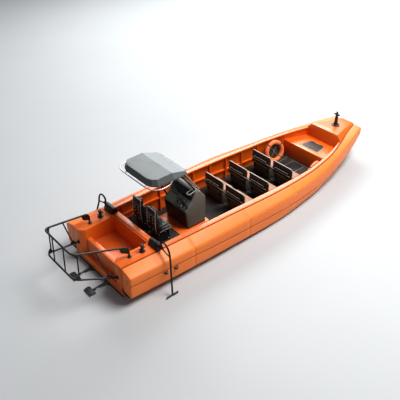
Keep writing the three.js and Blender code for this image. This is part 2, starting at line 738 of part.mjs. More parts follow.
// Two grab rails behind each board: the long one crosses the aisle, the short ones end behind the boards
const GRIP = { standOff: 60, z: 840, shortZ: 930, radius: 15, stub: 12, shortFrom: 190, shortTo: 845 };

function benchBoxes(x) {
  const { boxInner, boxOuter, depth, boxTop } = BENCH;
  const foot = PASSENGER_DECK + GAP;
  const rails = [x + 90, x + depth - 90].map((at) => block(
    at, at + 50, -boxOuter, boxOuter, foot, foot + 25));
  const boxes = SIDES.map(([, side]) => {
    const [a, b] = [side * boxInner, side * boxOuter];
    return sidePlate([
      [x + 60, foot + 20], [x + depth - 40, foot + 20], [x + depth, boxTop - 60], [x + depth, boxTop],
      [x, boxTop], [x, boxTop - 60],
    ], Math.min(a, b), Math.max(a, b));
  });
  return join(...rails, ...boxes);
}

// Back boards of one row on their posts, with the grab rail behind them
function benchBacks(x) {
  const { inner, outer, boardLow, boardTop, board, boxTop } = BENCH;
  const corner = 70;
  const gripX = x - board - GRIP.standOff;
  const { z: gripZ, shortZ } = GRIP;
  const boards = SIDES.map(([, side]) => {
    const outline = [
      [inner, boardLow], [outer, boardLow], [outer, boardTop - corner], [outer - corner, boardTop],
      [inner + corner / 2, boardTop], [inner, boardTop - corner / 2],
    ];
    return plate(outline.map(([y, z]) => [x - board / 2, side * y, z]), board);
  });
  const posts = SIDES.flatMap(([, side]) => [220, 840].map((y) => {
    return join(
      block(x - 32, x - GAP, side * y - 25, side * y + 25, boxTop - 130, boardLow + 60),
      bar([x - 20, side * y, gripZ], [gripX, side * y, gripZ], GRIP.stub, 6),
    );
  }));
  const grip = bar([gripX, -outer + 20, gripZ], [gripX, outer - 20, gripZ], GRIP.radius);
  const shortGrips = SIDES.flatMap(([, side]) => [
    bar([gripX, side * GRIP.shortFrom, shortZ], [gripX, side * GRIP.shortTo, shortZ], GRIP.radius),
    ...[GRIP.shortFrom + 40, GRIP.shortTo - 40].map((y) => bar(
      [x - 20, side * y, shortZ], [gripX, side * y, shortZ], GRIP.stub, 6)),
  ]);
  return join(...boards, ...posts, grip, ...shortGrips);
}

function benchPad(x, side) {
  const { inner, outer, depth, boxTop, padTop, padBack } = BENCH;
  const [a, b] = [side * (inner + 20), side * (outer - 20)];
  return sidePlate([
    [x + GAP, boxTop + GAP], [x + depth - 4, boxTop + GAP], [x + depth - 4, padTop - 10], [x + 150, padTop],
    [x + 85, padBack], [x + GAP, padBack],
  ], Math.min(a, b), Math.max(a, b));
}

// Life rings, stowed standing on the deck beside the bulwarks
const RING = { x: 8805, y: 960, radius: 364, tube: 87, lean: 14, turn: 10 };

function lifeRing(side) {
  const { x, y, radius, tube: fat, lean, turn } = RING;
  const ring = new THREE.TorusGeometry(radius, fat, 10, 24);
  ring.rotateX(Math.PI / 2 - side * THREE.MathUtils.degToRad(lean));
  ring.rotateZ(-side * THREE.MathUtils.degToRad(turn));
  ring.computeBoundingBox();
  ring.translate(x, side * y, PASSENGER_DECK + GAP - ring.boundingBox.min.z);
  return solid(ring);
}

// Mooring bollards on the quarters
const BOLLARD = { x: 895, y: 1106, base: 95, radius: 48, cap: 66, height: 250, pinReach: 105, pinUp: 120 };

function bollard(side) {
  const { x, base, radius, cap, height, pinReach, pinUp } = BOLLARD;
  const y = side * BOLLARD.y;
  const foot = QUARTER_DECK + GAP;
  return join(
    bar([x, y, foot], [x, y, foot + 18], base, 12),
    bar([x, y, foot + 10], [x, y, foot + height - 35], radius, 12),
    bar([x, y, foot + height - 50], [x, y, foot + height], cap, 12, cap - 8),
    bar([x - pinReach, y, foot + pinUp], [x + pinReach, y, foot + pinUp], 17),
  );
}

// Stern guard: upper rail with its deck posts, lower rail with the uprights and braces
const GUARD = {
  radius: 29,
  upper: [[469, 1053, QUARTER_DECK + GAP + 8], [455, 1053, 1545], [-1160, 760, 1957]],
  lower: [[-18, 1063, 670], [-1205, 750, 1070]],
};

const both = (half) => [...half, ...half.map(([x, y, z]) => [x, -y, z]).reverse()];

function guardPath(points, radius) {
  return tube(both(points), radius, 190, 8, 5);
}

function guardUpper() {
  const { radius, upper } = GUARD;
  const [foot, bend, corner] = upper;
  const along = (t) => foot.map((_, k) => THREE.MathUtils.lerp(bend[k], corner[k], t));
  const below = ([x, y, z], drop) => [x, y, z - drop];
  const posts = SIDES.flatMap(([, side]) => {
    const flip = ([x, y, z]) => [x, side * y, z];
    return [
      bar(flip([foot[0], foot[1], QUARTER_DECK + GAP]), flip([foot[0], foot[1], QUARTER_DECK + 18]), 78, 12),
      plate([
        [foot[0] - 12, foot[1], foot[2] + 110], [foot[0] - 22, foot[1], bend[2] - 30],
        along(0.17), below(along(0.15), 170),
      ].map(flip), 18),
      plate([along(0.985), along(0.86), below(along(0.93), 150)].map(flip), 14),
    ];
  });
  return join(guardPath(upper, radius), ...posts);
}

function guardLower() {
  const { radius, upper, lower } = GUARD;
  const onUpper = (t) => upper[1].map((v, k) => THREE.MathUtils.lerp(v, upper[2][k], t));
  const onLower = (t) => lower[0].map((v, k) => THREE.MathUtils.lerp(v, lower[1][k], t));
  const pieces = SIDES.flatMap(([, side]) => {
    const flip = ([x, y, z]) => [x, side * y, z];
    const rise = (point, k, by) => point.map((v, i) => (i === k ? v + by : v));
    return [
      bar(flip([-GAP, lower[0][1], lower[0][2]]), flip([-22, lower[0][1], lower[0][2]]), 75, 12),
      bar(flip(onLower(0.87)), flip(onUpper(0.91)), 20),
      bar(flip(onLower(0.16)), flip(onUpper(0.6)), 20),
      bar(flip([lower[1][0], 300, lower[1][2]]), flip([upper[2][0], 300, upper[2][2]]), 20),
      plate([onLower(0.8), onLower(0.98), rise(onLower(0.89), 2, 160)].map(flip), 14),
      plate([onLower(0.04), onLower(0.3), rise(onLower(0.17), 2, 150)].map(flip), 14),
    ];
  });
  return cut(join(guardPath(lower, radius), ...pieces), guardPath(upper, radius + GAP),
    ...SIDES.map(([, side]) => plate([[0.985, 0], [0.86, 0], [0.93, -150]].map(([t, drop]) => {
      const [x, y, z] = onUpper(t);
      return [x, side * y, z + drop];
    }), 15)));
}

// Side arms: each swings on an athwartships axis in its block, over the collar and down
const ARM = { x: 1330, axisZ: 1305, rootY: 985, blockOut: 1400, rootRadius: 40, radius: 28 };
const ARM_FOOT = { x: 1145, y: 2160, z: 45, half: 205 };

function armBlock(side) {
  const { x, axisZ, blockOut, rootRadius } = ARM;
  const foot = QUARTER_DECK + GAP;
  const [inner, outer] = [955, blockOut];
  const ys = [side * inner, side * outer].sort((a, b) => a - b);
  const body = sidePlate([
    [x - 120, foot], [x + 120, foot], [x + 120, foot + 35], [x + 78, axisZ + 45], [x + 45, axisZ + 80],
    [x - 45, axisZ + 80], [x - 78, axisZ + 45], [x - 120, foot + 35],
  ], ys[0], ys[1]);
  const bore = bar(
    [x, side * (inner + 25), axisZ], [x, side * (outer + 50), axisZ], rootRadius + 1.5 * PIN_PLAY, PIN_SIDES);
  return cut(body, bore,
    block(x - 140, x + 140, -930, 930, foot - 5, foot + 40));
}

function sideArm(side) {
  const { x, axisZ, rootY, rootRadius, radius } = ARM;
  const { x: footX, y: footY, z: footZ, half } = ARM_FOOT;
  const at = ([y, z]) => [x, side * y, z];
  const root = bar(at([rootY, axisZ]), at([1470, axisZ]), rootRadius, PIN_SIDES);
  const pole = tube([
    ...[[1445, axisZ - 10], [1450, 1480], [1530, 1562], [1690, 1555], [1830, 1400], [1868, 1160]].map(at),
    [footX, side * footY, footZ],
  ], radius, 110, 10, 4);
  const brace = bar(at([1450, axisZ]), at([1864, 1190]), 20);
  const foot = bar([footX - half, side * footY, footZ], [footX + half, side * footY, footZ], 24);
  return join(root, pole, brace, foot);
}

// Water jets: housing on the transom, steering nozzle on upright pins, reverse bucket on the nozzle
const JET = { y: 430, z: -150, pivotX: -450, hingeX: -610, pin: 17 };
const SCOOP = { inner: 196, outer: 212, from: 55, to: 118 };

function turned(profile, sides, y, z) {
  const lathe = new THREE.LatheGeometry(profile.map(([x, r]) => new THREE.Vector2(r, x)), sides);
  lathe.rotateZ(-Math.PI / 2);
  lathe.translate(0, y, z);
  return solid(lathe);
}

function jetHousing(side) {
  const { y, z, pivotX } = JET;
  const mid = side * y;
  const body = turned([[-470, 0], [-470, 104], [-335, 104], [-320, 150], [-40, 178], [-36, 215], [-GAP, 215],
    [-GAP, 0]], 20, mid, z);
  const bore = bar([-480, mid, z], [-180, mid, z], 84, 16);
  const ears = [-1, 1].map((up) => join(
    bar([pivotX, mid, z + up * 178], [pivotX, mid, z + up * 194], 26, 12),
    sidePlate([[pivotX, z + up * 178], [-280, z + up * 178], [-280, z + up * 120], [-230, z + up * 120],
      [-230, z + up * 194], [pivotX, z + up * 194]], mid - 24, mid + 24),
    bar([pivotX, mid, z + up * 142], [pivotX, mid, z + up * 190], JET.pin, PIN_SIDES),
  ));
  return cut(join(body, ...ears), bore);
}

function jetNozzle(side) {
  const { y, z, pivotX, hingeX, pin } = JET;
  const mid = side * y;
  const shell = turned([
    [-420, 148], [-500, 148], [-690, 104], [-690, 122], [-500, 165], [-420, 165], [-420, 148],
  ], 20, mid, z);
  const pins = [-1, 1].map((edge) => bar(
    [hingeX, mid + edge * 130, z], [hingeX, mid + edge * 182, z], pin, PIN_SIDES));
  const holes = [-1, 1].map((up) => bar(
    [pivotX, mid, z + up * 120], [pivotX, mid, z + up * 175], pin + PIN_PLAY, PIN_SIDES));
  return cut(join(shell, ...pins), ...holes);
}

function reverseBucket(side) {
  const { y, z, hingeX, pin } = JET;
  const mid = side * y;
  const { inner, outer, from, to } = SCOOP;
  const cheekIn = 162;
  const cheekOut = 176;
  const arc = (radius, start, end, steps) => Array.from({ length: steps + 1 }, (_, i) => {
    const angle = THREE.MathUtils.degToRad(start + ((end - start) * i) / steps);
    return [hingeX - radius * Math.cos(angle), z + radius * Math.sin(angle)];
  });
  const band = [...arc(outer, from, to, 6), ...arc(inner, to, from, 6)];
  const scoop = sidePlate(band, mid - cheekOut, mid + cheekOut);
  const cheeks = [-1, 1].map((edge) => {
    const ys = [mid + edge * cheekIn, mid + edge * cheekOut].sort((a, b) => a - b);
    const outline = [...arc(outer, from, to, 6), ...arc(40, 200, 340, 4)];
    const hole = bar([hingeX, ys[0] - 5, z], [hingeX, ys[1] + 5, z], pin + PIN_PLAY, PIN_SIDES);
    return cut(sidePlate(outline, ys[0], ys[1]), hole);
  });
  return join(scoop, ...cheeks);
}

place('hull_bottom', shape(hullBottom()), DARK_HULL);
place('stern_module', shape(sternModule()), ORANGE_PAINT);
place('helm_deck', shape(helmDeck()), ORANGE_PAINT);
place('helm_mat', shape(helmMat()), DECK_GREY);
place('passenger_deck', shape(passengerDeck()), DECK_GREY);
place('foredeck_step', shape(foredeckStep()), ORANGE_PAINT);
place('foredeck_hatch', shape(hatchLid()), DECK_GREY);
place('bow_block', shape(bowBlock()), ORANGE_PAINT);
place('bow_post', shape(bowPost()), BLACK_FRAME);
place('canopy_roof', shape(canopyRoof()), ROOF_GREY);
place('roof_rail', shape(roofRail()), PALE_TUBE);
place('canopy_struts', shape(canopyStruts()), BLACK_FRAME);
place('windscreen_frame', shape(windscreenFrame()), PALE_TUBE);
place('windscreen_glass', shape(windscreenGlass()), GLASS);
place('console', shape(consoleBody()), CONSOLE_GREY);
place('steering_wheel', shape(steeringWheel()), BLACK_FRAME);
place('throttle_lever', shape(throttleLever()), BLACK_FRAME);
place('guard_upper', shape(guardUpper()), BLACK_FRAME);
place('guard_lower', shape(guardLower()), BLACK_FRAME);
ROW_X.forEach((x, i) => {
  place(`bench_boxes_${i + 1}`, shape(benchBoxes(x)), DECK_GREY);
  place(`bench_backs_${i + 1}`, shape(benchBacks(x)), BLACK_FRAME);
});
for (const [name, side] of SIDES) {
  place(`bulwark_${name}`, shape(bulwark(side)), ORANGE_PAINT);
  place(`collar_${name}`, shape(collar(side)), ORANGE_COLLAR);
  place(`engine_${name}`, shape(engine(side)), ENGINE_IRON);
  place(`helm_seat_frame_${name}`, shape(helmSeatFrame(side)), BLACK_FRAME);
  place(`helm_seat_pad_${name}`, shape(helmSeatPad(side)), BLACK_PAD);
  ROW_X.forEach((x, i) => place(`bench_pad_${i + 1}_${name}`, shape(benchPad(x, side)), TAN_PAD));
  place(`life_ring_${name}`, shape(lifeRing(side)), LIFE_ORANGE);
  place(`bollard_${name}`, shape(bollard(side)), BLACK_FRAME);
  place(`arm_block_${name}`, shape(armBlock(side)), BLACK_FRAME);
  place(`side_arm_${name}`, shape(sideArm(side)), BLACK_FRAME);
  place(`jet_housing_${name}`, shape(jetHousing(side)), JET_METAL);
  place(`jet_nozzle_${name}`, shape(jetNozzle(side)), JET_METAL);
  place(`reverse_bucket_${name}`, shape(reverseBucket(side)), JET_METAL);
}

export default boat;
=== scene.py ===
# %% [markdown]
# # A rigid inflatable passenger boat
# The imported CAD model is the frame: it says where every part sits and which body it moves with. This
# script keeps to those places, in metres, and gives each part its real surface. +X runs forward, +Y to
# port and +Z up, and the water is the plane at zero.

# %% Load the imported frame
import math

import bmesh
import bpy
from mathutils import Matrix, Vector


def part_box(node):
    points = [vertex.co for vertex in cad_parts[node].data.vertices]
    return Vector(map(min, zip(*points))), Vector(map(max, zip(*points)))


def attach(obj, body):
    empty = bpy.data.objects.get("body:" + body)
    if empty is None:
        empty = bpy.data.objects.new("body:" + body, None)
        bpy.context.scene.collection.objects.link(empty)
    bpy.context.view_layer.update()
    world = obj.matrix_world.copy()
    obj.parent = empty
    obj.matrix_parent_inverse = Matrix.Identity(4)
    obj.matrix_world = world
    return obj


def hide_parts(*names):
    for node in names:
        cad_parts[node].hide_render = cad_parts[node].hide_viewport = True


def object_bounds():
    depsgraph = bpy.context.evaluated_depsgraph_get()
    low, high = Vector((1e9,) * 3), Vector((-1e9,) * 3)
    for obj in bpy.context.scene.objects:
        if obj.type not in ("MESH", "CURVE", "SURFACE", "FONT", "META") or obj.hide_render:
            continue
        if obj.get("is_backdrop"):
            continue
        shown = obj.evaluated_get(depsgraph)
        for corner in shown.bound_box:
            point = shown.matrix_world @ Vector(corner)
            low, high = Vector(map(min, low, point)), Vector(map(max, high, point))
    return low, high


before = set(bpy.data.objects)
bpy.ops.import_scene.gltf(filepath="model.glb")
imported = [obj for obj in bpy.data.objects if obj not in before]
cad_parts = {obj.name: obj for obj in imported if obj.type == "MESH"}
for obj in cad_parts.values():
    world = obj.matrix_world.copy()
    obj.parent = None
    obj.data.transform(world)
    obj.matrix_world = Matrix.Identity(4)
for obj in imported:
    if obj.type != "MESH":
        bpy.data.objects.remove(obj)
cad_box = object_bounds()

scene = bpy.context.scene

# %% [markdown]
# ## Camera
# The photograph was taken from above the starboard quarter. Its viewpoint was found by fitting a camera
# to matching points on both sides of the boat, so the camera is set from its place and three angles.

# %% Place the camera
CAMERA_PLACE = Vector((-6.283, -11.896, 12.237))
YAW = math.radians(48.909)
PITCH_DOWN = math.radians(35.608)
ROLL = math.radians(0.175)
FOCAL_LENGTH_MM = 51.97
VIEW_DEPTH = 400


def aim_camera():
    ahead = Vector((math.cos(YAW) * math.cos(PITCH_DOWN), math.sin(YAW) * math.cos(PITCH_DOWN),
                    -math.sin(PITCH_DOWN)))
    level = Vector((math.sin(YAW), -math.cos(YAW), 0))
    above = level.cross(ahead)
    right = math.cos(ROLL) * level + math.sin(ROLL) * above
    up = math.cos(ROLL) * above - math.sin(ROLL) * level
    lens = bpy.data.cameras.new("quarter_view")
    lens.lens = FOCAL_LENGTH_MM
    lens.clip_end = VIEW_DEPTH
    camera = bpy.data.objects.new("quarter_view", lens)
    facing = Matrix((right, up, -ahead)).transposed().to_4x4()
    camera.matrix_world = Matrix.Translation(CAMERA_PLACE) @ facing
    scene.collection.objects.link(camera)
    return camera


scene.camera = aim_camera()
print("camera at", tuple(round(v, 2) for v in scene.camera.location))

# %% [markdown]
# ## Shader maths as expressions
# A material is a small formula over the surface. Wrapping a socket in a class lets the formula be
# written with ordinary operators, and each operator adds its Math node. Any other node comes from one
# method, so a finish below reads as a list of what the surface does.

# %% Wrap the sockets of a shader tree


class Wire:
    """A socket in a shader tree. Arithmetic on it adds Math nodes."""

    def __init__(self, finish, socket):
        self.finish = finish
        self.socket = socket

    def math(self, operation, first, second):
        return self.finish.node("ShaderNodeMath", {"operation": operation}, {0: first, 1: second})

    def __add__(self, other):
        return self.math("ADD", self, other)

    def __sub__(self, other):
        return self.math("SUBTRACT", self, other)

    def __rsub__(self, other):
        return self.math("SUBTRACT", other, self)

    def __mul__(self, other):
        return self.math("MULTIPLY", self, other)

    def wave(self):
        return self.math("SINE", self, 0)

    __radd__ = __add__
    __rmul__ = __mul__


class Finish:
    """A material, with the pattern nodes that its formula needs."""

    def __init__(self, name, **constants):
        self.material = bpy.data.materials.new(name)
        self.material.use_nodes = True
        self.tree = self.material.node_tree
        self.shader = self.tree.nodes["Principled BSDF"]
        for socket, value in constants.items():
            self.shader.inputs[socket.replace("_", " ")].default_value = value
        self.point = self.node("ShaderNodeTexCoord", {}, {}, "Object")

    def node(self, kind, settings, inputs, out=0):
        made = self.tree.nodes.new(kind)
        for key, value in settings.items():
            if key == "stops":
                for stop, (place, shade) in zip(made.color_ramp.elements, value):
                    stop.position = place
                    stop.color = (shade, shade, shade, 1)
            else:
                setattr(made, key, value)
        for key, value in inputs.items():
            self.feed(made.inputs[key], value)
        return Wire(self, made.outputs[out])

    def feed(self, socket, value):
        if isinstance(value, Wire):
            self.tree.links.new(value.socket, socket)
        else:
            socket.default_value = value

    def stretched(self, scale):
        return self.node("ShaderNodeMapping", {}, {"Vector": self.point, "Scale": scale})

    def noise(self, scale, detail=3, place=None):
        return self.node("ShaderNodeTexNoise", {},
                         {"Vector": place or self.point, "Scale": scale, "Detail": detail})

    def cells(self, scale, feature="F1", jitter=1):
        return self.node("ShaderNodeTexVoronoi", {"feature": feature},
                         {"Vector": self.point, "Scale": scale, "Randomness": jitter}, "Distance")

    def between(self, value, low, high):
        """Rises from 0 to 1 as the value goes from low to high, which may also be the higher number."""
        stops = sorted(((low, 0), (high, 1)))
        return self.node("ShaderNodeValToRGB", {"stops": stops}, {0: value})

    def axis(self, name):
        return self.node("ShaderNodeSeparateXYZ", {}, {0: self.point}, name)

    def mix(self, first, second, share):
        return self.node("ShaderNodeMix", {"data_type": "RGBA"}, {0: share, 6: first, 7: second}, 2)

    def colour(self, value):
        self.feed(self.shader.inputs["Base Color"], value)

    def rough(self, value):
        self.feed(self.shader.inputs["Roughness"], value)

    def relief(self, height, depth, strength=1.0):
        bump = self.node("ShaderNodeBump", {}, {"Height": height, "Distance": depth, "Strength": strength},
                         "Normal")
        self.feed(self.shader.inputs["Normal"], bump)


def rgb(red, green, blue):
    return (red, green, blue, 1)


print("shader helpers ready")

# %% [markdown]
# ## Painted metal and the collar's skin
# The hull's paint is sprayed over welded plate: its colour drifts a little, salt dulls it in streaks that
# run down the walls, and close up it has the dimples of sprayed paint. The collar is foam under a thick
# rubbery coat, so it is paler, more matt, softly pebbled, and scuffed near the water.

# %% Mix the orange finishes and the bottom paint


def hull_paint():
    f = Finish("hull_orange", Specular_IOR_Level=0.5, Coat_Weight=0.25, Coat_Roughness=0.38)
    drift = f.noise(1.3, 4)
    streaks = f.noise(1, 5, f.stretched((9, 9, 0.9)))
    dull = f.between(streaks, 0.45, 0.75)
    fresh = f.mix(rgb(0.78, 0.150, 0.010), rgb(0.72, 0.130, 0.008), drift)
    f.colour(f.mix(fresh, rgb(0.66, 0.150, 0.022), dull * 0.35))
    f.rough(0.36 + dull * 0.14 + f.noise(28, 2) * 0.06)
    f.relief(f.noise(420, 2), 0.0006, 0.35)
    return f.material


def collar_skin():
    f = Finish("collar_skin", Specular_IOR_Level=0.5, Sheen_Weight=0.08, Coat_Weight=0.2, Coat_Roughness=0.42)
    drift = f.noise(0.9, 4)
    base = f.mix(rgb(0.88, 0.215, 0.024), rgb(0.82, 0.190, 0.019), drift)
    low = f.between(f.axis("Z"), 0.0, 0.45)
    scuffs = f.between(f.noise(1, 6, f.stretched((3, 3, 22))), 0.58, 0.66)
    grime = ((1 - low) * scuffs) * 0.55
    f.colour(f.mix(base, rgb(0.33, 0.12, 0.05), grime))
    f.rough(0.50 + f.noise(14, 3) * 0.12)
    f.relief(f.cells(260, "SMOOTH_F1") * 0.6 + f.noise(60, 3) * 0.4, 0.0012, 0.5)
    return f.material


def bottom_paint():
    f = Finish("bottom_paint")
    streaks = f.noise(1, 5, f.stretched((0.7, 6, 9)))
    f.colour(f.mix(rgb(0.018, 0.019, 0.022), rgb(0.06, 0.062, 0.062), f.between(streaks, 0.45, 0.8)))
    f.rough(0.42 + streaks * 0.2)
    f.relief(f.noise(160, 3), 0.0008, 0.4)
    return f.material


ORANGE = hull_paint()
COLLAR = collar_skin()
BOTTOM = bottom_paint()
print("orange and bottom finishes mixed")

# %% [markdown]
# ## Black, grey and bare metal finishes
# Tubes and brackets are powder coated, which is fine grained and rubs pale on exposed places. Mats are
# moulded rubber with raised dots. The console and hardtop are moulded in gelcoat, smooth and slightly
# wavy. Rails are brushed alloy and the jets are cast alloy.

# %% Mix the fittings' finishes


def powder_coat(name="powder_coat", shade=0.012):
    f = Finish(name, Metallic=0.0, Specular_IOR_Level=0.5)
    worn = f.between(f.noise(34, 5), 0.66, 0.74)
    f.colour(f.mix(rgb(shade, shade, shade * 1.1), rgb(0.12, 0.12, 0.12), worn * 0.5))
    f.rough(0.38 + f.noise(90, 2) * 0.16)
    f.relief(f.noise(900, 2), 0.0004, 0.5)
    return f.material


def dotted_mat():
    f = Finish("dotted_mat", Specular_IOR_Level=0.4)
    dirt = f.between(f.noise(2.2, 6), 0.35, 0.75)
    f.colour(f.mix(rgb(0.020, 0.020, 0.021), rgb(0.055, 0.049, 0.042), dirt))
    f.rough(0.62 + dirt * 0.25)
    f.relief(f.between(f.cells(55, jitter=0), 0.42, 0.30), 0.0016, 0.9)
    return f.material


def gelcoat(name, pale, deep, rough):
    f = Finish(name, Specular_IOR_Level=0.5)
    drift = f.noise(1.1, 4)
    chalk = f.between(f.noise(1, 5, f.stretched((5, 5, 1.2))), 0.5, 0.8)
    f.colour(f.mix(rgb(*pale), rgb(*deep), drift * 0.6 + chalk * 0.4))
    f.rough(rough + chalk * 0.12 + f.noise(22, 2) * 0.05)
    f.relief(f.noise(7, 2), 0.004, 0.15)
    return f.material


def brushed_alloy(name="brushed_alloy", shade=0.55, rough=0.28):
    f = Finish(name, Metallic=1.0)
    grain = f.noise(1, 3, f.stretched((16, 420, 420)))
    tarnish = f.between(f.noise(9, 5), 0.5, 0.75)
    f.colour(f.mix(rgb(shade, shade, shade * 0.97), rgb(shade * 0.66, shade * 0.65, shade * 0.6), tarnish))
    f.rough(rough + grain * 0.12 + tarnish * 0.16)
    f.relief(grain, 0.0003, 0.3)
    return f.material


def cast_alloy():
    f = Finish("cast_alloy", Metallic=0.9)
    salt = f.between(f.noise(12, 6), 0.52, 0.72)
    f.colour(f.mix(rgb(0.13, 0.135, 0.14), rgb(0.22, 0.22, 0.21), salt))
    f.rough(0.42 + salt * 0.25)
    f.relief(f.noise(240, 4), 0.0011, 0.55)
    return f.material


BLACK = powder_coat()
# Dark orange-brown for the strips laid in the collar's grooves: painted shade.
GROOVE_SHADE = gelcoat("groove_sealant", (0.16, 0.045, 0.014), (0.09, 0.028, 0.010), 0.6)
MAT = dotted_mat()
CONSOLE_GREY = gelcoat("console_gelcoat", (0.150, 0.155, 0.132), (0.118, 0.124, 0.106), 0.48)
BOX_GREY = gelcoat("bench_box_gelcoat", (0.105, 0.089, 0.075), (0.078, 0.066, 0.056), 0.45)
BOARD_BLACK = gelcoat("bench_board_moulding", (0.056, 0.046, 0.039), (0.040, 0.033, 0.028), 0.45)
ROOF_GREY = gelcoat("hardtop_gelcoat", (0.104, 0.116, 0.118), (0.090, 0.102, 0.104), 0.45)
# Lighter and darker copies of the hardtop grey: painted light on the forward slope, painted shade on the rim
# and underside.
ROOF_LIT_SLOPE = gelcoat("hardtop_slope_gelcoat", (0.200, 0.222, 0.224), (0.172, 0.192, 0.194), 0.45)
ROOF_SHADED_RIM = gelcoat("hardtop_rim_gelcoat", (0.085, 0.097, 0.10), (0.064, 0.076, 0.080), 0.45)
ALLOY = brushed_alloy()
PALE_ALLOY = brushed_alloy("satin_rail", 0.60, 0.40)
PALE_TRIM = gelcoat("pale_trim", (0.36, 0.31, 0.27), (0.27, 0.23, 0.20), 0.45)
PALE_PIPING = gelcoat("pale_piping", (0.60, 0.57, 0.52), (0.47, 0.45, 0.41), 0.5)
# Dark brown for the knee face under the dash: painted shade.
KNEE_SHADE_PANEL = gelcoat("knee_door_moulding", (0.060, 0.028, 0.018), (0.040, 0.020, 0.013), 0.45)
HATCH_BROWN = gelcoat("hatch_panel", (0.060, 0.053, 0.042), (0.045, 0.040, 0.032), 0.55)
JET_ALLOY = cast_alloy()
print("fittings' finishes mixed")

# %% [markdown]
# ## Upholstery, rubber, rings and glass
# Bench pads are tan vinyl with a leather grain; the two helm seats are dark green-grey. The grain is a
# bump of irregular cells, finer than a finger tip. The life rings have a woven cover and dark webbing.

# %% Mix the soft finishes and the glass


def vinyl(name, pale, deep, rough):
    f = Finish(name, Specular_IOR_Level=0.45, Sheen_Weight=0.06)
    grain = f.cells(330, "DISTANCE_TO_EDGE")
    creases = f.noise(11, 5)
    f.colour(f.mix(rgb(*pale), rgb(*deep), f.between(creases, 0.35, 0.75)))
    f.rough(rough + creases * 0.14)
    f.relief(f.between(grain, 0.0, 0.12) * 0.7 + creases * 0.3, 0.0009, 0.6)
    return f.material


def woven(name, pale, deep, rough=0.75, pitch=900):
    f = Finish(name, Sheen_Weight=0.15)
    across = (f.axis("X") * pitch).wave() * (f.axis("Z") * pitch + f.axis("Y") * pitch).wave()
    wear = f.between(f.noise(7, 5), 0.4, 0.8)
    f.colour(f.mix(rgb(*pale), rgb(*deep), wear))
    f.rough(rough + wear * 0.1)
    f.relief(across, 0.0005, 0.6)
    return f.material


def tinted_glass():
    f = Finish("tinted_glass", Base_Color=rgb(0.20, 0.22, 0.22), Roughness=0.04, Alpha=0.38,
               Specular_IOR_Level=1.0)
    haze = f.between(f.noise(3.5, 6), 0.45, 0.8)
    f.rough(0.03 + haze * 0.08)
    f.material.surface_render_method = "BLENDED"
    return f.material


TAN = vinyl("tan_vinyl", (0.38, 0.200, 0.122), (0.30, 0.150, 0.088), 0.52)
SEAT_VINYL = vinyl("seat_vinyl", (0.066, 0.076, 0.069), (0.044, 0.051, 0.046), 0.42)
THREAD = woven("thread", (0.62, 0.50, 0.40), (0.50, 0.38, 0.30))
RING_ORANGE = woven("ring_cover", (0.90, 0.235, 0.070), (0.78, 0.180, 0.050), 0.55)
WEBBING = woven("webbing", (0.030, 0.026, 0.024), (0.016, 0.014, 0.013))
RUBBER = powder_coat("trim_rubber", 0.016)
WHITE_CAP = gelcoat("cap_white", (0.72, 0.72, 0.70), (0.60, 0.60, 0.57), 0.35)
GLASS = tinted_glass()
SCREEN_GLASS = gelcoat("display_glass", (0.012, 0.014, 0.018), (0.010, 0.011, 0.014), 0.08)
print("finishes in all:", len(bpy.data.materials))

# %% [markdown]
# ## Tools for shapes
# Most of the boat is sections joined into a skin, tubes bent round corners, turned fittings and plates.
# One collector gathers such shapes in a mesh, remembers which finish each face has, and hands the result
# to the body that it rides on. Rounded corners are real geometry, because edges catch the light.

# %% Round corners and offset outlines
CORNER_REACH = 0.48


def angles(count, start=0.0):
    """Evenly spaced angles once round a circle."""
    return [start + math.tau * k / count for k in range(count)]


def circle(centre, side, other, radius, turns):
    return [centre + (side * math.cos(a) + other * math.sin(a)) * radius for a in turns]


def rounded(points, radii, steps=4, closed=True):
    """Points in 2 or 3 dimensions with each corner turned into a curve of its own radius."""
    points = [Vector(p) for p in points]
    if isinstance(radii, (int, float)):
        radii = [radii] * len(points)
    path = []
    for i, (corner, radius) in enumerate(zip(points, radii)):
        at_end = not closed and i in (0, len(points) - 1)
        if at_end or radius == 0:
            path.append(corner)
            continue
        before = points[i - 1] - corner
        after = points[(i + 1) % len(points)] - corner
        reach = min(radius, before.length * CORNER_REACH, after.length * CORNER_REACH)
        start = corner + before.normalized() * reach
        end = corner + after.normalized() * reach
        for k in range(steps + 1):
            t = k / steps
            path.append(start * (1 - t) ** 2 + corner * 2 * t * (1 - t) + end * t ** 2)
    return path


def rounded_each(corners, steps=4):
    """Corners given as (point, radius), each rounded by its own radius."""
    return rounded([point for point, _ in corners], [radius for _, radius in corners], steps)


def inset(outline, depth):
    """A closed 2-D outline moved inwards by the same depth everywhere."""
    area = sum(a.x * b.y - b.x * a.y for a, b in zip(outline, outline[1:] + outline[:1]))
    turn = 1 if area > 0 else -1
    moved = []
    for i, here in enumerate(outline):
        before = (here - outline[i - 1]).normalized()
        after = (outline[(i + 1) % len(outline)] - here).normalized()
        along = (before + after).normalized()
        moved.append(here + Vector((-along.y, along.x)) * turn * depth)
    return moved


def standing(name, data):
    """An object that shows a mesh or a lamp, linked to the scene."""
    made = bpy.data.objects.new(name, data)
    scene.collection.objects.link(made)
    return made


# %% Gather faces into a piece
DOME_WIDTH, DOME_RISE = 0.7, 0.25
SHARP_ANGLE, SOFT_ANGLE = 34, 60


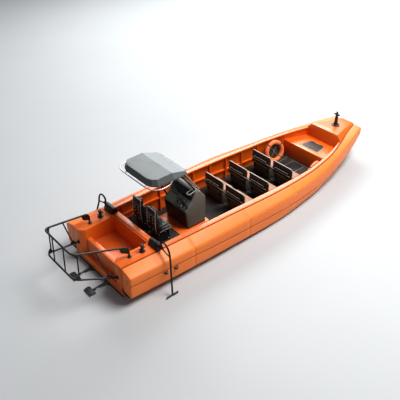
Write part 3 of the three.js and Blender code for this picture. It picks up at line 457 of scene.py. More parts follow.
class Shape:
    """Collects parts of one piece in a mesh, each with its own finish."""

    def __init__(self, finish):
        self.mesh = bmesh.new()
        self.finishes = [finish]
        self.index = 0

    def use(self, finish):
        if finish not in self.finishes:
            self.finishes.append(finish)
        self.index = self.finishes.index(finish)
        return self

    def face(self, corners):
        made = self.mesh.faces.new(corners)
        made.material_index = self.index
        return made

    def skin(self, rings, loop=False):
        """Joins rings of equal length, each closed, and caps the two ends."""
        rows = [[self.mesh.verts.new(p) for p in ring] for ring in rings]
        faces = []
        pairs = list(zip(rows, rows[1:])) + ([(rows[-1], rows[0])] if loop else [])
        for low, high in pairs:
            for k in range(len(low)):
                j = (k + 1) % len(low)
                faces.append(self.face((low[k], low[j], high[j], high[k])))
        if not loop:
            faces.append(self.face(rows[0][::-1]))
            faces.append(self.face(rows[-1]))
        bmesh.ops.recalc_face_normals(self.mesh, faces=faces)
        return faces

    def pipe(self, points, radius, bend=0.0, sides=12, steps=6):
        """A tube along corner points; its ends are closed with a slight dome."""
        path = rounded(points, bend, steps, closed=False) if bend else [Vector(p) for p in points]
        ahead = [(path[(i + 1) % len(path)] - path[i - 1]).normalized() for i in range(len(path))]
        ahead[0] = (path[1] - path[0]).normalized()
        ahead[-1] = (path[-1] - path[-2]).normalized()
        side = ahead[0].orthogonal().normalized()
        rings = []
        for here, way in zip(path, ahead):
            side = (side - way * side.dot(way)).normalized()
            rings.append(circle(here, side, way.cross(side), radius, angles(sides)))
        caps = [[middle + (p - middle) * DOME_WIDTH + way * radius * DOME_RISE for p in ring]
                for middle, way, ring in ((path[0], -ahead[0], rings[0]), (path[-1], ahead[-1], rings[-1]))]
        return self.skin([caps[0], *rings, caps[1]])

    def turned(self, foot, way, profile, sides=24):
        """A shape turned on an axis from foot along way; the profile is (distance, radius)."""
        foot = Vector(foot)
        way = Vector(way).normalized()
        side = way.orthogonal().normalized()
        return self.skin([circle(foot + way * along, side, way.cross(side), radius, angles(sides))
                          for along, radius in profile])

    def slab(self, outline, lift, edge=0.004, steps=2):
        """A plate: a flat closed outline of 3-D points, thickened by the vector lift, edges rounded."""
        points = [Vector(p) for p in outline]
        lift = Vector(lift)
        up = lift.normalized()
        across = (points[1] - points[0]).normalized()
        along = up.cross(across)
        flat = [Vector(((p - points[0]).dot(across), (p - points[0]).dot(along))) for p in points]

        def ring(depth, height):
            return [points[0] + across * q.x + along * q.y + up * height for q in inset(flat, depth)]

        quarter = [math.pi / 2 * k / steps for k in range(steps + 1)]
        rings = [ring(edge * (1 - math.sin(a)), edge * (1 - math.cos(a))) for a in quarter]
        rings += [ring(edge * (1 - math.cos(a)), lift.length - edge * (1 - math.sin(a))) for a in quarter]
        return self.skin(rings)

    def side_slab(self, outline, y0, y1, edge, steps):
        """A plate with a side outline of (x, z), reaching from y0 to y1."""
        return self.slab([(p.x, y0, p.y) for p in outline], (0, y1 - y0, 0), edge, steps)

    def brick(self, low, high, edge=0.006):
        (x0, y0, z0), (x1, y1, z1) = low, high
        radius = min(edge * 1.5, (x1 - x0) / 3, (y1 - y0) / 3)
        corners = rounded([(x0, y0), (x1, y0), (x1, y1), (x0, y1)], radius, 3)
        return self.slab([(p.x, p.y, z0) for p in corners], (0, 0, z1 - z0), edge)

    def add(self, mesh):
        """Takes over a finished mesh as it is, in the finish in use."""
        before = len(self.mesh.faces)
        self.mesh.from_mesh(mesh)
        self.mesh.faces.ensure_lookup_table()
        for made in self.mesh.faces[before:]:
            made.material_index = self.index

    def baked(self, name):
        """The collected mesh as plain data; the shape is used up."""
        data = bpy.data.meshes.new(name)
        self.mesh.to_mesh(data)
        self.mesh.free()
        return data

    def piece(self, name, body, slot, replaces=(), angle=SHARP_ANGLE):
        """Turns the collected parts into an object on a body, in place of the CAD nodes that it replaces.

        Edges sharper than the angle stay sharp.
        """
        bmesh.ops.dissolve_degenerate(self.mesh, dist=1e-6, edges=self.mesh.edges[:])
        for edge in self.mesh.edges:
            edge.smooth = len(edge.link_faces) == 2 and edge.calc_face_angle(0) < math.radians(angle)
        for made in self.mesh.faces:
            made.smooth = True
        data = self.baked(name)
        for finish in self.finishes:
            data.materials.append(finish)
        made = standing(name, data)
        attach(made, body)
        if replaces:
            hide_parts(*replaces)
        data.calc_loop_triangles()
        print(f"{name}: {len(data.loop_triangles)} triangles")
        return made


def finished_mesh(piece):
    """The mesh of a piece with its modifiers applied; the piece itself goes."""
    bpy.context.view_layer.update()
    graph = bpy.context.evaluated_depsgraph_get()
    data = bpy.data.meshes.new_from_object(piece.evaluated_get(graph))
    bpy.data.objects.remove(piece)
    return data


# %% Round the edges of a CAD part
MERGE_DISTANCE = 2e-5
FLAT_ANGLE = math.radians(0.6)


def softened(data, width, segments, limit):
    """A mesh with the edges that are sharper than limit rounded by a bevel."""
    holder = standing("softened", data)
    bevel = holder.modifiers.new("edges", "BEVEL")
    bevel.width, bevel.segments = width, segments
    bevel.limit_method, bevel.angle_limit = "ANGLE", math.radians(limit)
    bevel.miter_outer = "MITER_ARC"
    return finished_mesh(holder)


def dressed(node, finish, width=0.008, segments=2, limit=28):
    """A merged copy of a CAD part with its sharp edges rounded, ready to collect in a shape."""
    copy = Shape(finish)
    copy.mesh.from_mesh(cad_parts[node].data)
    bmesh.ops.remove_doubles(copy.mesh, verts=copy.mesh.verts[:], dist=MERGE_DISTANCE)
    bmesh.ops.dissolve_limit(copy.mesh, angle_limit=FLAT_ANGLE, verts=copy.mesh.verts[:],
                             edges=copy.mesh.edges[:])
    shape = Shape(finish)
    shape.add(softened(copy.baked(node + "_dressed"), width, segments, limit))
    return shape


print("shape tools ready")

# %% [markdown]
# ## The hull's lines
# A boat is drawn as lines: heights and half-breadths at a few stations, with a fair curve between them.
# The same table as the CAD's, in millimetres, gives the skin of the bottom, collars and bulwarks here at
# much closer stations, so the long curves read as one sweep.

# %% Read the lines plan
LINE_NAMES = ("x", "sheer", "groove", "inner", "edgeY", "edgeZ", "rub", "lowY", "lowZ", "chineY", "chineZ",
              "keel", "seat")
HULL_LINES = (
    (0, 1180, 1290, 1190, 1739, 1040, 735, 1735, 275, 1200, -40, -560, 80),
    (2000, 1180, 1385, 1215, 1787, 943, 640, 1785, 205, 1260, -45, -570, 80),
    (4000, 1160, 1465, 1280, 1822, 908, 550, 1815, 165, 1300, -50, -575, 80),
    (6000, 1090, 1500, 1300, 1831, 897, 490, 1795, 95, 1290, -50, -565, 80),
    (8000, 1030, 1400, 1250, 1673, 869, 415, 1600, 95, 1150, -30, -490, 80),
    (9500, 1060, 1176, 1047, 1410, 950, 450, 1320, 215, 880, 20, -340, 80),
    (10500, 1110, 860, 776, 1150, 1035, 530, 1050, 335, 600, 100, -130, 190),
    (11300, 1152, 545, 480, 915, 1105, 640, 810, 520, 370, 290, 150, 400),
    (12070, 1180, 300, 240, 680, 1140, 890, 620, 770, 230, 640, 600, 720),
)
LENGTH = 12.070
BULKHEAD_X = 1.470
PLATFORM_END_X = 2.760
STEP_X = 9.506
BOW_X = 10.545
HELM_DECK = 0.530
PASSENGER_DECK = 0.130
QUARTER_DECK = 1.180
STATION_PITCH = 0.11
SIDES = (("port", 1), ("starboard", -1))


def line(name, x):
    """A hull line's value in metres at a place along the boat, on a curve that never overshoots."""
    column = LINE_NAMES.index(name)
    rows = HULL_LINES
    x = min(max(x, 0), LENGTH) * 1000

    def slope(i):
        return (rows[i + 1][column] - rows[i][column]) / (rows[i + 1][0] - rows[i][0])

    def tangent(i):
        if i == 0:
            return slope(0)
        if i == len(rows) - 1:
            return slope(i - 1)
        a, b = slope(i - 1), slope(i)
        return 2 * a * b / (a + b) if a * b > 0 else 0

    i = 0
    while i < len(rows) - 2 and x > rows[i + 1][0]:
        i += 1
    span = rows[i + 1][0] - rows[i][0]
    t = (x - rows[i][0]) / span
    value = ((2 * t ** 3 - 3 * t ** 2 + 1) * rows[i][column] + (t ** 3 - 2 * t ** 2 + t) * tangent(i) * span
             + (3 * t ** 2 - 2 * t ** 3) * rows[i + 1][column] + (t ** 3 - t ** 2) * tangent(i + 1) * span)
    return value / 1000


def wall_line(x):
    return (line("inner", x) + line("groove", x)) / 2


def stations(start, end, pitch=STATION_PITCH):
    count = max(round((end - start) / pitch), 1)
    return [start + (end - start) * k / count for k in range(count + 1)]


print("widest at the groove:", max(round(line("groove", x), 3) for x in stations(0, LENGTH)))

# %% [markdown]
# ## The foam collar
# On the real boat the collar is blocks of foam glued along the hull under a thick sprayed skin. Its
# section is a trapezium with soft corners, a groove along its side, and butt seams every few metres. The
# section is drawn once as a rounded outline, and shrinks a few millimetres where a seam or an end is.

# %% Skin the two collars
GROOVE_WIDTH = 0.052
RUB_DEPTH = 0.042
RUB_HALF = 0.030
END_RADIUS = 0.028
SEAM_X = (2.33, 4.66, 6.99, 9.32)
SEAM_DEPTH = 0.006
SEAM_HALF = 0.009
STRIP_END = 0.03
LUG_X = (1.225, 1.600)


def collar_outline(x, side, depth):
    edge_y, edge_z, rub = line("edgeY", x), line("edgeZ", x), line("rub", x)
    groove, sheer, low_y, low_z = (line(n, x) for n in ("groove", "sheer", "lowY", "lowZ"))
    corners = [
        ((groove + 0.004, sheer - 0.070), 0.004),
        ((groove + GROOVE_WIDTH * 0.85, sheer - 0.012), 0.020),
        ((edge_y, edge_z), 0.060),
        ((edge_y + 0.002, rub + RUB_HALF), 0.010),
        ((edge_y - RUB_DEPTH, rub + 0.006), 0.008),
        ((edge_y - 0.006, rub - RUB_HALF), 0.014),
        ((low_y, low_z), 0.065),
        ((groove + 0.004, low_z - 0.005), 0.010),
    ]
    outline = rounded_each(corners)
    if depth:
        outline = inset(outline, depth)
    return [(x, side * p.x, p.y) for p in outline]


def collar_rings(side):
    """Places along the boat with how deep the skin lies there: ends are rounded, seams are sunk."""
    places = [(x, 0.0) for x in stations(END_RADIUS, LENGTH - END_RADIUS)]
    for k in range(4):
        turn = math.pi / 2 * k / 4
        away, depth = END_RADIUS * (1 - math.sin(turn)), END_RADIUS * (1 - math.cos(turn))
        places += [(depth, away), (LENGTH - depth, away)]
    seams = [(seam + SEAM_HALF * off, depth) for seam in SEAM_X
             for off, depth in ((-2, 0), (-1, SEAM_DEPTH), (1, SEAM_DEPTH), (2, 0))]
    places = [p for p in places if all(abs(p[0] - seam) > SEAM_HALF * 3 for seam in SEAM_X)] + seams
    return [collar_outline(x, side, depth) for x, depth in sorted(places)]


def strip(shape, side, breadth, height, corners):
    """A dark strip along the hull, painted shade in a groove: its section follows one line sideways and one
    up and down.
    """
    shape.skin([[(x, side * (line(breadth, x) + y), line(height, x) + z) for y, z in corners]
                for x in stations(STRIP_END, LENGTH - STRIP_END)])


def end_plate(shape, side, x, thick, edge, corners):
    """A plate across the collar's after end, with an outline of (y, z)."""
    shape.slab([(x, side * y, z) for y, z in corners], (thick, 0, 0), edge)


for name, side in SIDES:
    foam = Shape(COLLAR)
    foam.skin(collar_rings(side))
    # Dark strips in the gunwale groove and the rub groove: painted shade.
    foam.use(GROOVE_SHADE)
    strip(foam, side, "groove", "sheer", ((0.001, -0.074), (0.001, -0.034), (0.050, -0.034), (0.050, -0.074)))
    strip(foam, side, "edgeY", "rub", ((-0.060, -0.018), (-0.060, 0.026), (-0.026, 0.026), (-0.026, -0.018)))
    foam.use(BLACK)
    for x in LUG_X:
        y, z = side * (line("edgeY", x) - 0.030), line("rub", x) - 0.084
        lug = rounded([(x - 0.090, y, z), (x + 0.090, y, z), (x + 0.035, y + side * 0.110, z),
                       (x - 0.035, y + side * 0.110, z)], [0, 0, 0.03, 0.03], 4)
        foam.slab(lug, (0, 0, 0.050), 0.006)
        foam.use(ALLOY).turned((x, y + side * 0.078, z - 0.002), (0, 0, 1), ((0, 0.016), (0.054, 0.016)), 18)
        foam.use(BLACK)
    end_plate(foam, side, -0.003, 0.006, 0.002,
              ((1.545, 0.690), (1.562, 0.690), (1.562, 0.880), (1.545, 0.880)))
    low_y, low_z = line("lowY", 0), line("lowZ", 0)
    end_plate(foam, side, -0.012, 0.022, 0.003,
              ((1.285, low_z - 0.030), (low_y - 0.12, low_z - 0.030), (low_y - 0.12, low_z + 0.035),
               (1.330, low_z + 0.035), (1.330, low_z + 0.130), (1.285, low_z + 0.130)))
    foam.piece("collar_skin_" + name, "hull", "orange_collar", ["collar_" + name])

# %% [markdown]
# ## Bottom and bulwarks
# The deep-V bottom is welded plate with two spray rails a side, so its section is one outline from the
# keel out. The bulwarks are a plate wall with a rounded gunwale on top, stiffened inside by upright ribs
# and a long stringer; all three are drawn from the same lines, so they fit each other everywhere.

# %% Skin the bottom with its spray rails
SPRAY_RAIL_SHARES = (0.36, 0.66)
SPRAY_RAIL = 0.035


def bottom_outline(x):
    names = ("chineY", "chineZ", "keel", "groove", "seat")
    chine_y, chine_z, keel, groove, seat = (line(n, x) for n in names)
    fade = min(1.0, max(0.0, (11.6 - x) / 2.5))
    half = [(0.0, keel)]
    for share in SPRAY_RAIL_SHARES:
        y, z = chine_y * share, keel + (chine_z - keel) * share
        rise = (chine_z - keel) / max(chine_y, 0.01)
        half += [(y - 0.02, z - 0.02 * rise), (y + SPRAY_RAIL * 0.4, z - SPRAY_RAIL * 0.5 * fade - 0.004),
                 (y + SPRAY_RAIL, z + SPRAY_RAIL * rise)]
    half += [(chine_y, chine_z - 0.004), (chine_y + 0.012, chine_z + 0.016), (groove - 0.010, seat - 0.004),
             (groove - 0.004, seat)]
    return [(x, y, z) for y, z in half] + [(x, -y, z) for y, z in half[:0:-1]]


bottom = Shape(BOTTOM)
bottom.skin([bottom_outline(x) for x in stations(0.002, LENGTH - 0.002, 0.2)])
bottom.piece("bottom_plating", "hull", "dark_hull", ["hull_bottom"])

# %% Skin the bulwarks, gunwales, ribs and stringers
GUNWALE_CAP = 0.070
RIB_WIDTH = 0.050
RIB_X = (1.800, 2.600, 3.400, 4.120, 4.920, 5.730, 6.530, 7.330, 8.150, 8.950)
STRINGER_LINE = ((0.0, 0.745), (3.0, 0.655), (5.3, 0.525), (7.6, 0.385), (LENGTH, 0.375))
STRINGER_HEIGHT = 0.055


def stringer_outline(x, side):
    """The stringer's section at one place; its height comes from the nearest two points of its line."""
    (x0, z0), (x1, z1) = next(pair for pair in zip(STRINGER_LINE, STRINGER_LINE[1:]) if x <= pair[1][0])
    low = z0 + (z1 - z0) * (x - x0) / (x1 - x0)
    wall, inner = wall_line(x) + 0.004, line("inner", x) + 0.027
    corners = ((wall, low), (wall, low + STRINGER_HEIGHT), (inner, low + STRINGER_HEIGHT), (inner, low))
    return [(x, side * y, z) for y, z in corners]


def bulwark_outline(x, side):
    groove, sheer, inner, seat = (line(n, x) for n in ("groove", "sheer", "inner", "seat"))
    wall = wall_line(x)
    corners = [
        ((groove - 0.002, seat + 0.002), 0), ((groove - 0.002, sheer - 0.060), 0.004),
        ((groove - 0.012, sheer), 0.016), ((inner, sheer), 0.020), ((inner, sheer - GUNWALE_CAP), 0.012),
        ((wall, sheer - GUNWALE_CAP), 0.012), ((wall, seat + 0.002), 0),
    ]
    return [(x, side * p.x, p.y) for p in rounded_each(corners)]


def rib_outline(x, side, foot):
    """A rib's face at one place: it stands on the deck and tapers under the gunwale."""
    wall, inner, sheer = wall_line(x), line("inner", x), line("sheer", x)
    corners = [(wall + 0.004, foot), (wall + 0.004, sheer - GUNWALE_CAP + 0.004),
               (inner + 0.010, sheer - GUNWALE_CAP + 0.004), (inner + 0.012, foot)]
    return [(x, side * y, z) for y, z in corners]


for name, side in SIDES:
    bulwark = Shape(ORANGE)
    bulwark.skin([bulwark_outline(x, side) for x in stations(BULKHEAD_X + 0.0005, BOW_X - 0.0005)])
    for x in RIB_X:
        foot = (HELM_DECK if x < PLATFORM_END_X else PASSENGER_DECK) + 0.001
        bulwark.skin([rib_outline(at, side, foot) for at in (x - RIB_WIDTH / 2, x + RIB_WIDTH / 2)])
    bulwark.skin([stringer_outline(x, side) for x in stations(BULKHEAD_X + 0.001, STEP_X - 0.010)])
    bulwark.piece("bulwark_plating_" + name, "hull", "orange_paint", ["bulwark_" + name])

# %% [markdown]
# ## Decks, stern and bow
# These are flat welded plate with folded edges. The CAD parts have the right shape, so each is copied
# with its edges rounded to the radius that folded plate has, and painted.

# %% Round the edges of the plated parts
for node, width, finish, slot in (
        ("stern_module", 0.016, ORANGE, "orange_paint"),
        ("helm_deck", 0.006, ORANGE, "orange_paint"),
        ("foredeck_step", 0.012, ORANGE, "orange_paint"),
        ("bow_block", 0.022, ORANGE, "orange_paint"),
        ("passenger_deck", 0.006, MAT, "deck_grey"),
        ("helm_mat", 0.004, MAT, "deck_grey"),
):
    dressed(node, finish, width).piece(node + "_plating", "hull", slot, [node])

# %% [markdown]
# ## Stern guard
# The guard is one bent tube above another, tied by uprights and braces, with flat gussets welded in at
# the joints. Both rings follow the points of the CAD. Each gusset is a plate with a rounded edge, and
# each foot is a round flange.

# %% Bend the two guard rings
GUARD_RADIUS = 0.029
GUARD_BEND = 0.190
BRACE_RADIUS = 0.020
UPRIGHT_Y = 0.30
UPPER_RING = (Vector((0.469, 1.053, QUARTER_DECK + 0.002)), Vector((0.455, 1.053, 1.545)),
              Vector((-1.160, 0.760, 1.957)))
LOWER_RING = (Vector((-0.018, 1.063, 0.670)), Vector((-1.205, 0.750, 1.070)))


def across(point, side=-1):
    return Vector((point[0], side * point[1], point[2]))


def both_ways(half):
    return list(half) + [across(p) for p in reversed(half)]


def on_upper(t):
    return UPPER_RING[1].lerp(UPPER_RING[2], t)


def on_lower(t):
    return LOWER_RING[0].lerp(LOWER_RING[1], t)


def dropped(point, drop):
    return point - Vector((0, 0, drop))


def gusset(shape, side, corners, thick=0.012, bend=0.04):
    """A flat plate with rounded corners, centred on its corners' plane, on one side of the boat."""
    points = [across(p, side) for p in corners]
    face = (points[1] - points[0]).cross(points[2] - points[0]).normalized()
    outline = rounded([p - face * thick / 2 for p in points], bend, 4)
    shape.slab(outline, face * thick, 0.003)


upper, lower = Shape(BLACK), Shape(BLACK)
for shape, ring in ((upper, UPPER_RING), (lower, LOWER_RING)):
    shape.pipe(both_ways(ring), GUARD_RADIUS, GUARD_BEND, 16, 8)
for _, side in SIDES:
    upper.turned(across(UPPER_RING[0], side) - Vector((0, 0, 0.0017)), (0, 0, 1),
                 ((0, 0.078), (0.008, 0.078), (0.012, 0.074), (0.013, 0.040), (0.040, 0.032)), 28)
    gusset(upper, side, (UPPER_RING[0] + Vector((-0.012, 0, 0.11)), UPPER_RING[1] - Vector((0.022, 0, 0.03)),
                         on_upper(0.17), dropped(on_upper(0.15), 0.170)), 0.016, 0.07)
    gusset(upper, side, (on_upper(0.985), on_upper(0.86), dropped(on_upper(0.93), 0.15)))
    lower.turned(across(LOWER_RING[0], side) + Vector((0.0177, 0, 0)), (-1, 0, 0),
                 ((0, 0.075), (0.010, 0.075), (0.014, 0.071), (0.015, 0.040), (0.040, 0.032)), 28)
    for start, end in (
            (on_lower(0.87), on_upper(0.91)),
            (on_lower(0.16), on_upper(0.60)),
            ((LOWER_RING[1].x, UPRIGHT_Y, LOWER_RING[1].z), (UPPER_RING[2].x, UPRIGHT_Y, UPPER_RING[2].z)),
    ):
        lower.pipe([across(start, side), across(end, side)], BRACE_RADIUS, 0, 14)
    gusset(lower, side, (on_lower(0.80), on_lower(0.98), dropped(on_lower(0.89), -0.16)))
    gusset(lower, side, (on_lower(0.04), on_lower(0.30), dropped(on_lower(0.17), -0.15)))
upper.piece("guard_upper_ring", "hull", "black_frame", ["guard_upper"])
lower.piece("guard_lower_ring", "hull", "black_frame", ["guard_lower"])

# %% [markdown]
# ## Side arms, bollards and bow post
# Each side arm is a tube that arches out of its block, turns down past the collar and ends in a crossed
# foot; it swings up and aft on the bar inside the block. The bollards and the bow post are turned shapes
# on flanges, so each comes from one profile spun about its axis.

# %% Bend the side arms and build their blocks
ARM_X = 1.330
ARM_AXIS_Z = 1.305
ARM_PATH = ((1.445, 1.295), (1.450, 1.480), (1.530, 1.562), (1.690, 1.555), (1.830, 1.400), (1.868, 1.160))
ARM_FOOT = (1.145, 2.160, 0.045)
ARM_FOOT_HALF = 0.205


def arm_point(y, z, side=1):
    return Vector((ARM_X, side * y, z))


for name, side in SIDES:
    arm = Shape(BLACK)
    foot = across(ARM_FOOT, side)
    arm.turned(arm_point(0.985, ARM_AXIS_Z, side), (0, side, 0),
               ((0, 0.036), (0.004, 0.040), (0.415, 0.040), (0.417, 0.052), (0.450, 0.052), (0.480, 0.050),
                (0.485, 0.044)), 28)
    arm.pipe([arm_point(y, z, side) for y, z in ARM_PATH] + [foot], 0.028, 0.11, 16, 6)
    arm.pipe([arm_point(1.450, ARM_AXIS_Z, side), arm_point(1.864, 1.190, side)], 0.020, 0, 14)
    gusset(arm, side, [arm_point(y, z) for y, z in ((1.450, 1.310), (1.452, 1.430), (1.640, 1.252))],
           0.012, 0.02)
    arm.pipe([foot + Vector((x, 0, 0)) for x in (-ARM_FOOT_HALF, ARM_FOOT_HALF)], 0.024, 0, 16)
    for end in (-1, 1):
        arm.turned(foot + Vector((end * (ARM_FOOT_HALF - 0.03), 0, 0)), (end, 0, 0),
                   ((0, 0.026), (0.004, 0.031), (0.026, 0.031), (0.032, 0.026)), 16)
    arm.piece("arm_tube_" + name, "arm_" + name, "black_frame", ["side_arm_" + name])

    block = dressed("arm_block_" + name, BLACK, 0.012, 3)
    for x in (-0.100, 0.100):
        for y in (1.00, 1.16, 1.32):
            block.turned((ARM_X + x, side * y, QUARTER_DECK + 0.033), (0, 0, 1),
                         ((0, 0.015), (0.010, 0.015), (0.013, 0.011)), 6)
    block.piece("arm_housing_" + name, "hull", "black_frame", ["arm_block_" + name])

# %% Turn the bollards and the bow post
BOLLARD_PROFILE = ((0, 0.090), (0.003, 0.095), (0.012, 0.095), (0.016, 0.090), (0.020, 0.058), (0.040, 0.049),
                   (0.195, 0.047), (0.207, 0.064), (0.225, 0.066), (0.243, 0.061), (0.250, 0.050))
for name, side in SIDES:
    bollard = Shape(BLACK)
    foot = Vector((0.895, side * 1.106, QUARTER_DECK + 0.0003))
    bollard.turned(foot, (0, 0, 1), BOLLARD_PROFILE, 32)
    bollard.pipe([foot + Vector((x, 0, 0.12)) for x in (-0.105, 0.105)], 0.017, 0, 16)
    bollard.piece("bollard_turned_" + name, "hull", "black_frame", ["bollard_" + name])

POST_X, POST_HEIGHT = 11.250, 0.590
post_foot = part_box("bow_post")[1].z - POST_HEIGHT
post = Shape(BLACK)
post.turned((POST_X, 0, post_foot + 0.006), (0, 0, 1),
            ((0, 0.125), (0.008, 0.160), (0.012, 0.165), (0.026, 0.165), (0.034, 0.158), (0.040, 0.100),
             (0.062, 0.080), (0.100, 0.073), (0.470, 0.048), (0.492, 0.048), (0.500, 0.044), (0.575, 0.034),
             (0.584, 0.026)), 40)
post.pipe([(POST_X, y, post_foot + 0.470) for y in (-0.115, 0.115)], 0.032, 0, 20)
post.use(RUBBER)
post.turned((POST_X, 0, post_foot - 0.060), (0, 0, 1), ((0, 0.120), (0.066, 0.128), (0.068, 0.10)), 40)
post.piece("bow_post_turned", "hull", "black_frame", ["bow_post"])

# %% [markdown]
# ## Repeating small parts with Geometry Nodes
# Bolt heads and stitches repeat hundreds of times, so each is a node tree that sets one small shape on
# many places. The places are a bare mesh whose points carry the direction to face. The tree ends by
# making its copies real and giving them their finish, and is then turned into a plain mesh.

# %% Build the node trees for bolts and stitches


def wired(tree, *pairs):
    for start, end in pairs:
        tree.links.new(start, end)


def scaled(tree, value, factor):
    """A number in the tree times a constant."""
    times = tree.nodes.new("ShaderNodeMath")
    times.operation = "MULTIPLY"
    times.inputs[1].default_value = factor
    wired(tree, (value, times.inputs[0]))
    return times.outputs[0]


def node_group(name, inputs):
    """An empty geometry tree with a geometry socket in and out and the named inputs."""
    tree = bpy.data.node_groups.new(name, "GeometryNodeTree")
    tree.interface.new_socket("Geometry", in_out="INPUT", socket_type="NodeSocketGeometry")
    for label, kind in inputs:
        tree.interface.new_socket(label, in_out="INPUT", socket_type=kind)
    tree.interface.new_socket("Geometry", in_out="OUTPUT", socket_type="NodeSocketGeometry")
    return tree, tree.nodes.new("NodeGroupInput"), tree.nodes.new("NodeGroupOutput")


def point_turn(tree):
    """A rotation that turns the small shape's Z axis to the direction stored on each point."""
    stored = tree.nodes.new("GeometryNodeInputNamedAttribute")
    stored.data_type = "FLOAT_VECTOR"
    stored.inputs["Name"].default_value = "way"
    turn = tree.nodes.new("FunctionNodeAlignRotationToVector")
    turn.axis = "Z"
    tree.links.new(stored.outputs["Attribute"], turn.inputs["Vector"])
    return turn.outputs["Rotation"]


def finish_tree(tree, small_shape, inward, outward):
    """Copies the small shape to every point, makes the copies real and gives them their finish."""
    copies = tree.nodes.new("GeometryNodeInstanceOnPoints")
    real = tree.nodes.new("GeometryNodeRealizeInstances")
    coat = tree.nodes.new("GeometryNodeSetMaterial")
    wired(tree, (inward.outputs["Geometry"], copies.inputs["Points"]),
          (small_shape, copies.inputs["Instance"]),
          (point_turn(tree), copies.inputs["Rotation"]), (copies.outputs[0], real.inputs[0]),
          (real.outputs[0], coat.inputs["Geometry"]), (inward.outputs["Finish"], coat.inputs["Material"]),
          (coat.outputs[0], outward.inputs["Geometry"]))
    return tree


def bolt_tree():
    """A washer with a six-sided head on it, facing along the stored direction."""
    tree, inward, outward = node_group("bolt_heads", (("Head radius", "NodeSocketFloat"),
                                                      ("Head height", "NodeSocketFloat"),
                                                      ("Finish", "NodeSocketMaterial")))
    radius, height = inward.outputs["Head radius"], inward.outputs["Head height"]
    join = tree.nodes.new("GeometryNodeJoinGeometry")
    for sides, wide, tall in ((6, 1.0, 1.0), (12, 1.6, 0.35)):
        part = tree.nodes.new("GeometryNodeMeshCylinder")
        part.inputs["Vertices"].default_value = sides
        lift = tree.nodes.new("GeometryNodeTransform")
        place = tree.nodes.new("ShaderNodeCombineXYZ")
        wired(tree, (scaled(tree, radius, wide), part.inputs["Radius"]),
              (scaled(tree, height, tall), part.inputs["Depth"]),
              (scaled(tree, height, tall / 2), place.inputs["Z"]),
              (place.outputs[0], lift.inputs["Translation"]), (part.outputs["Mesh"], lift.inputs["Geometry"]),
              (lift.outputs[0], join.inputs[0]))
    return finish_tree(tree, join.outputs[0], inward, outward)


def stitch_tree():
    """A short thread lying along the stored direction."""
    tree, inward, outward = node_group("stitches", (("Thread radius", "NodeSocketFloat"),
                                                    ("Stitch length", "NodeSocketFloat"),
                                                    ("Finish", "NodeSocketMaterial")))
    thread = tree.nodes.new("GeometryNodeMeshCylinder")
    thread.inputs["Vertices"].default_value = 5
    wired(tree, (inward.outputs["Thread radius"], thread.inputs["Radius"]),
          (inward.outputs["Stitch length"], thread.inputs["Depth"]))
    return finish_tree(tree, thread.outputs["Mesh"], inward, outward)


BOLTS = bolt_tree()
STITCHES = stitch_tree()


def repeated(tree, places, values):
    """The plain mesh that a tree makes on places, a list of (point, direction)."""
    data = bpy.data.meshes.new(tree.name + "_places")
    data.from_pydata([tuple(point) for point, _ in places], [], [])
    ways = data.attributes.new("way", "FLOAT_VECTOR", "POINT")
    ways.data.foreach_set("vector", [v for _, way in places for v in way])
    holder = standing(tree.name + "_places", data)
    modifier = holder.modifiers.new(tree.name, "NODES")
    modifier.node_group = tree
    for item in tree.interface.items_tree:
        if item.in_out == "INPUT" and item.name in values:
            modifier[item.identifier] = values[item.name]
    return finished_mesh(holder)


def bolted(shape, places, radius, height, finish):
    """Adds bolt heads to a shape."""
    values = {"Head radius": radius, "Head height": height, "Finish": finish}
    shape.use(finish).add(repeated(BOLTS, places, values))


def stitched(places):
    """The thread of rows of stitches."""
    return repeated(STITCHES, places, {"Thread radius": 0.0009, "Stitch length": 0.0062, "Finish": THREAD})


def ring_of_bolts(centre, way, radius, count, turn=0.0):
    """Places for bolts on a circle, all facing along way."""
    way = Vector(way)
    side = way.orthogonal().normalized()
    return [(p, way) for p in circle(centre, side, way.cross(side), radius, angles(count, turn))]


print("node trees:", [tree.name for tree in (BOLTS, STITCHES)])

# %% [markdown]
# ## Bench cushions
# Each passenger place has a seat cushion and a back cushion of foam in sewn vinyl. A block of foam in a
# tight cover bulges between its seams, and cloth simulation with a little pressure gives exactly that.
# One seat and one back are simulated, and all six benches use the result. Seams and stitches
# come after it, because remeshing would rub them out.

# %% Inflate a cushion
import numpy as np
from mathutils.bvhtree import BVHTree

ROW_X = (5.225, 6.390, 7.615)
BENCH_INNER, BENCH_OUTER = 0.075, 0.985
BENCH_DEPTH = 0.540
BOX_TOP = 0.590
PAD_MARGIN = 0.020
VOXEL = 0.009
SIM_FRAMES = 20
FILL_PRESSURE = 4.0
STITCH_SPACING, SHORTEST_STITCH, THREAD_LIFT = 0.009, 1e-4, 0.0006


def points_of(data):
    flat = np.empty(len(data.vertices) * 3)
    data.vertices.foreach_get("co", flat)
    return flat.reshape(-1, 3)


def remeshed(shape, voxel=VOXEL):
    """The shape's faces as one even skin of small squares."""
    holder = standing("foam", shape.baked("foam"))
    even = holder.modifiers.new("even", "REMESH")
    even.mode = "VOXEL"
    even.voxel_size = voxel
    return finished_mesh(holder)


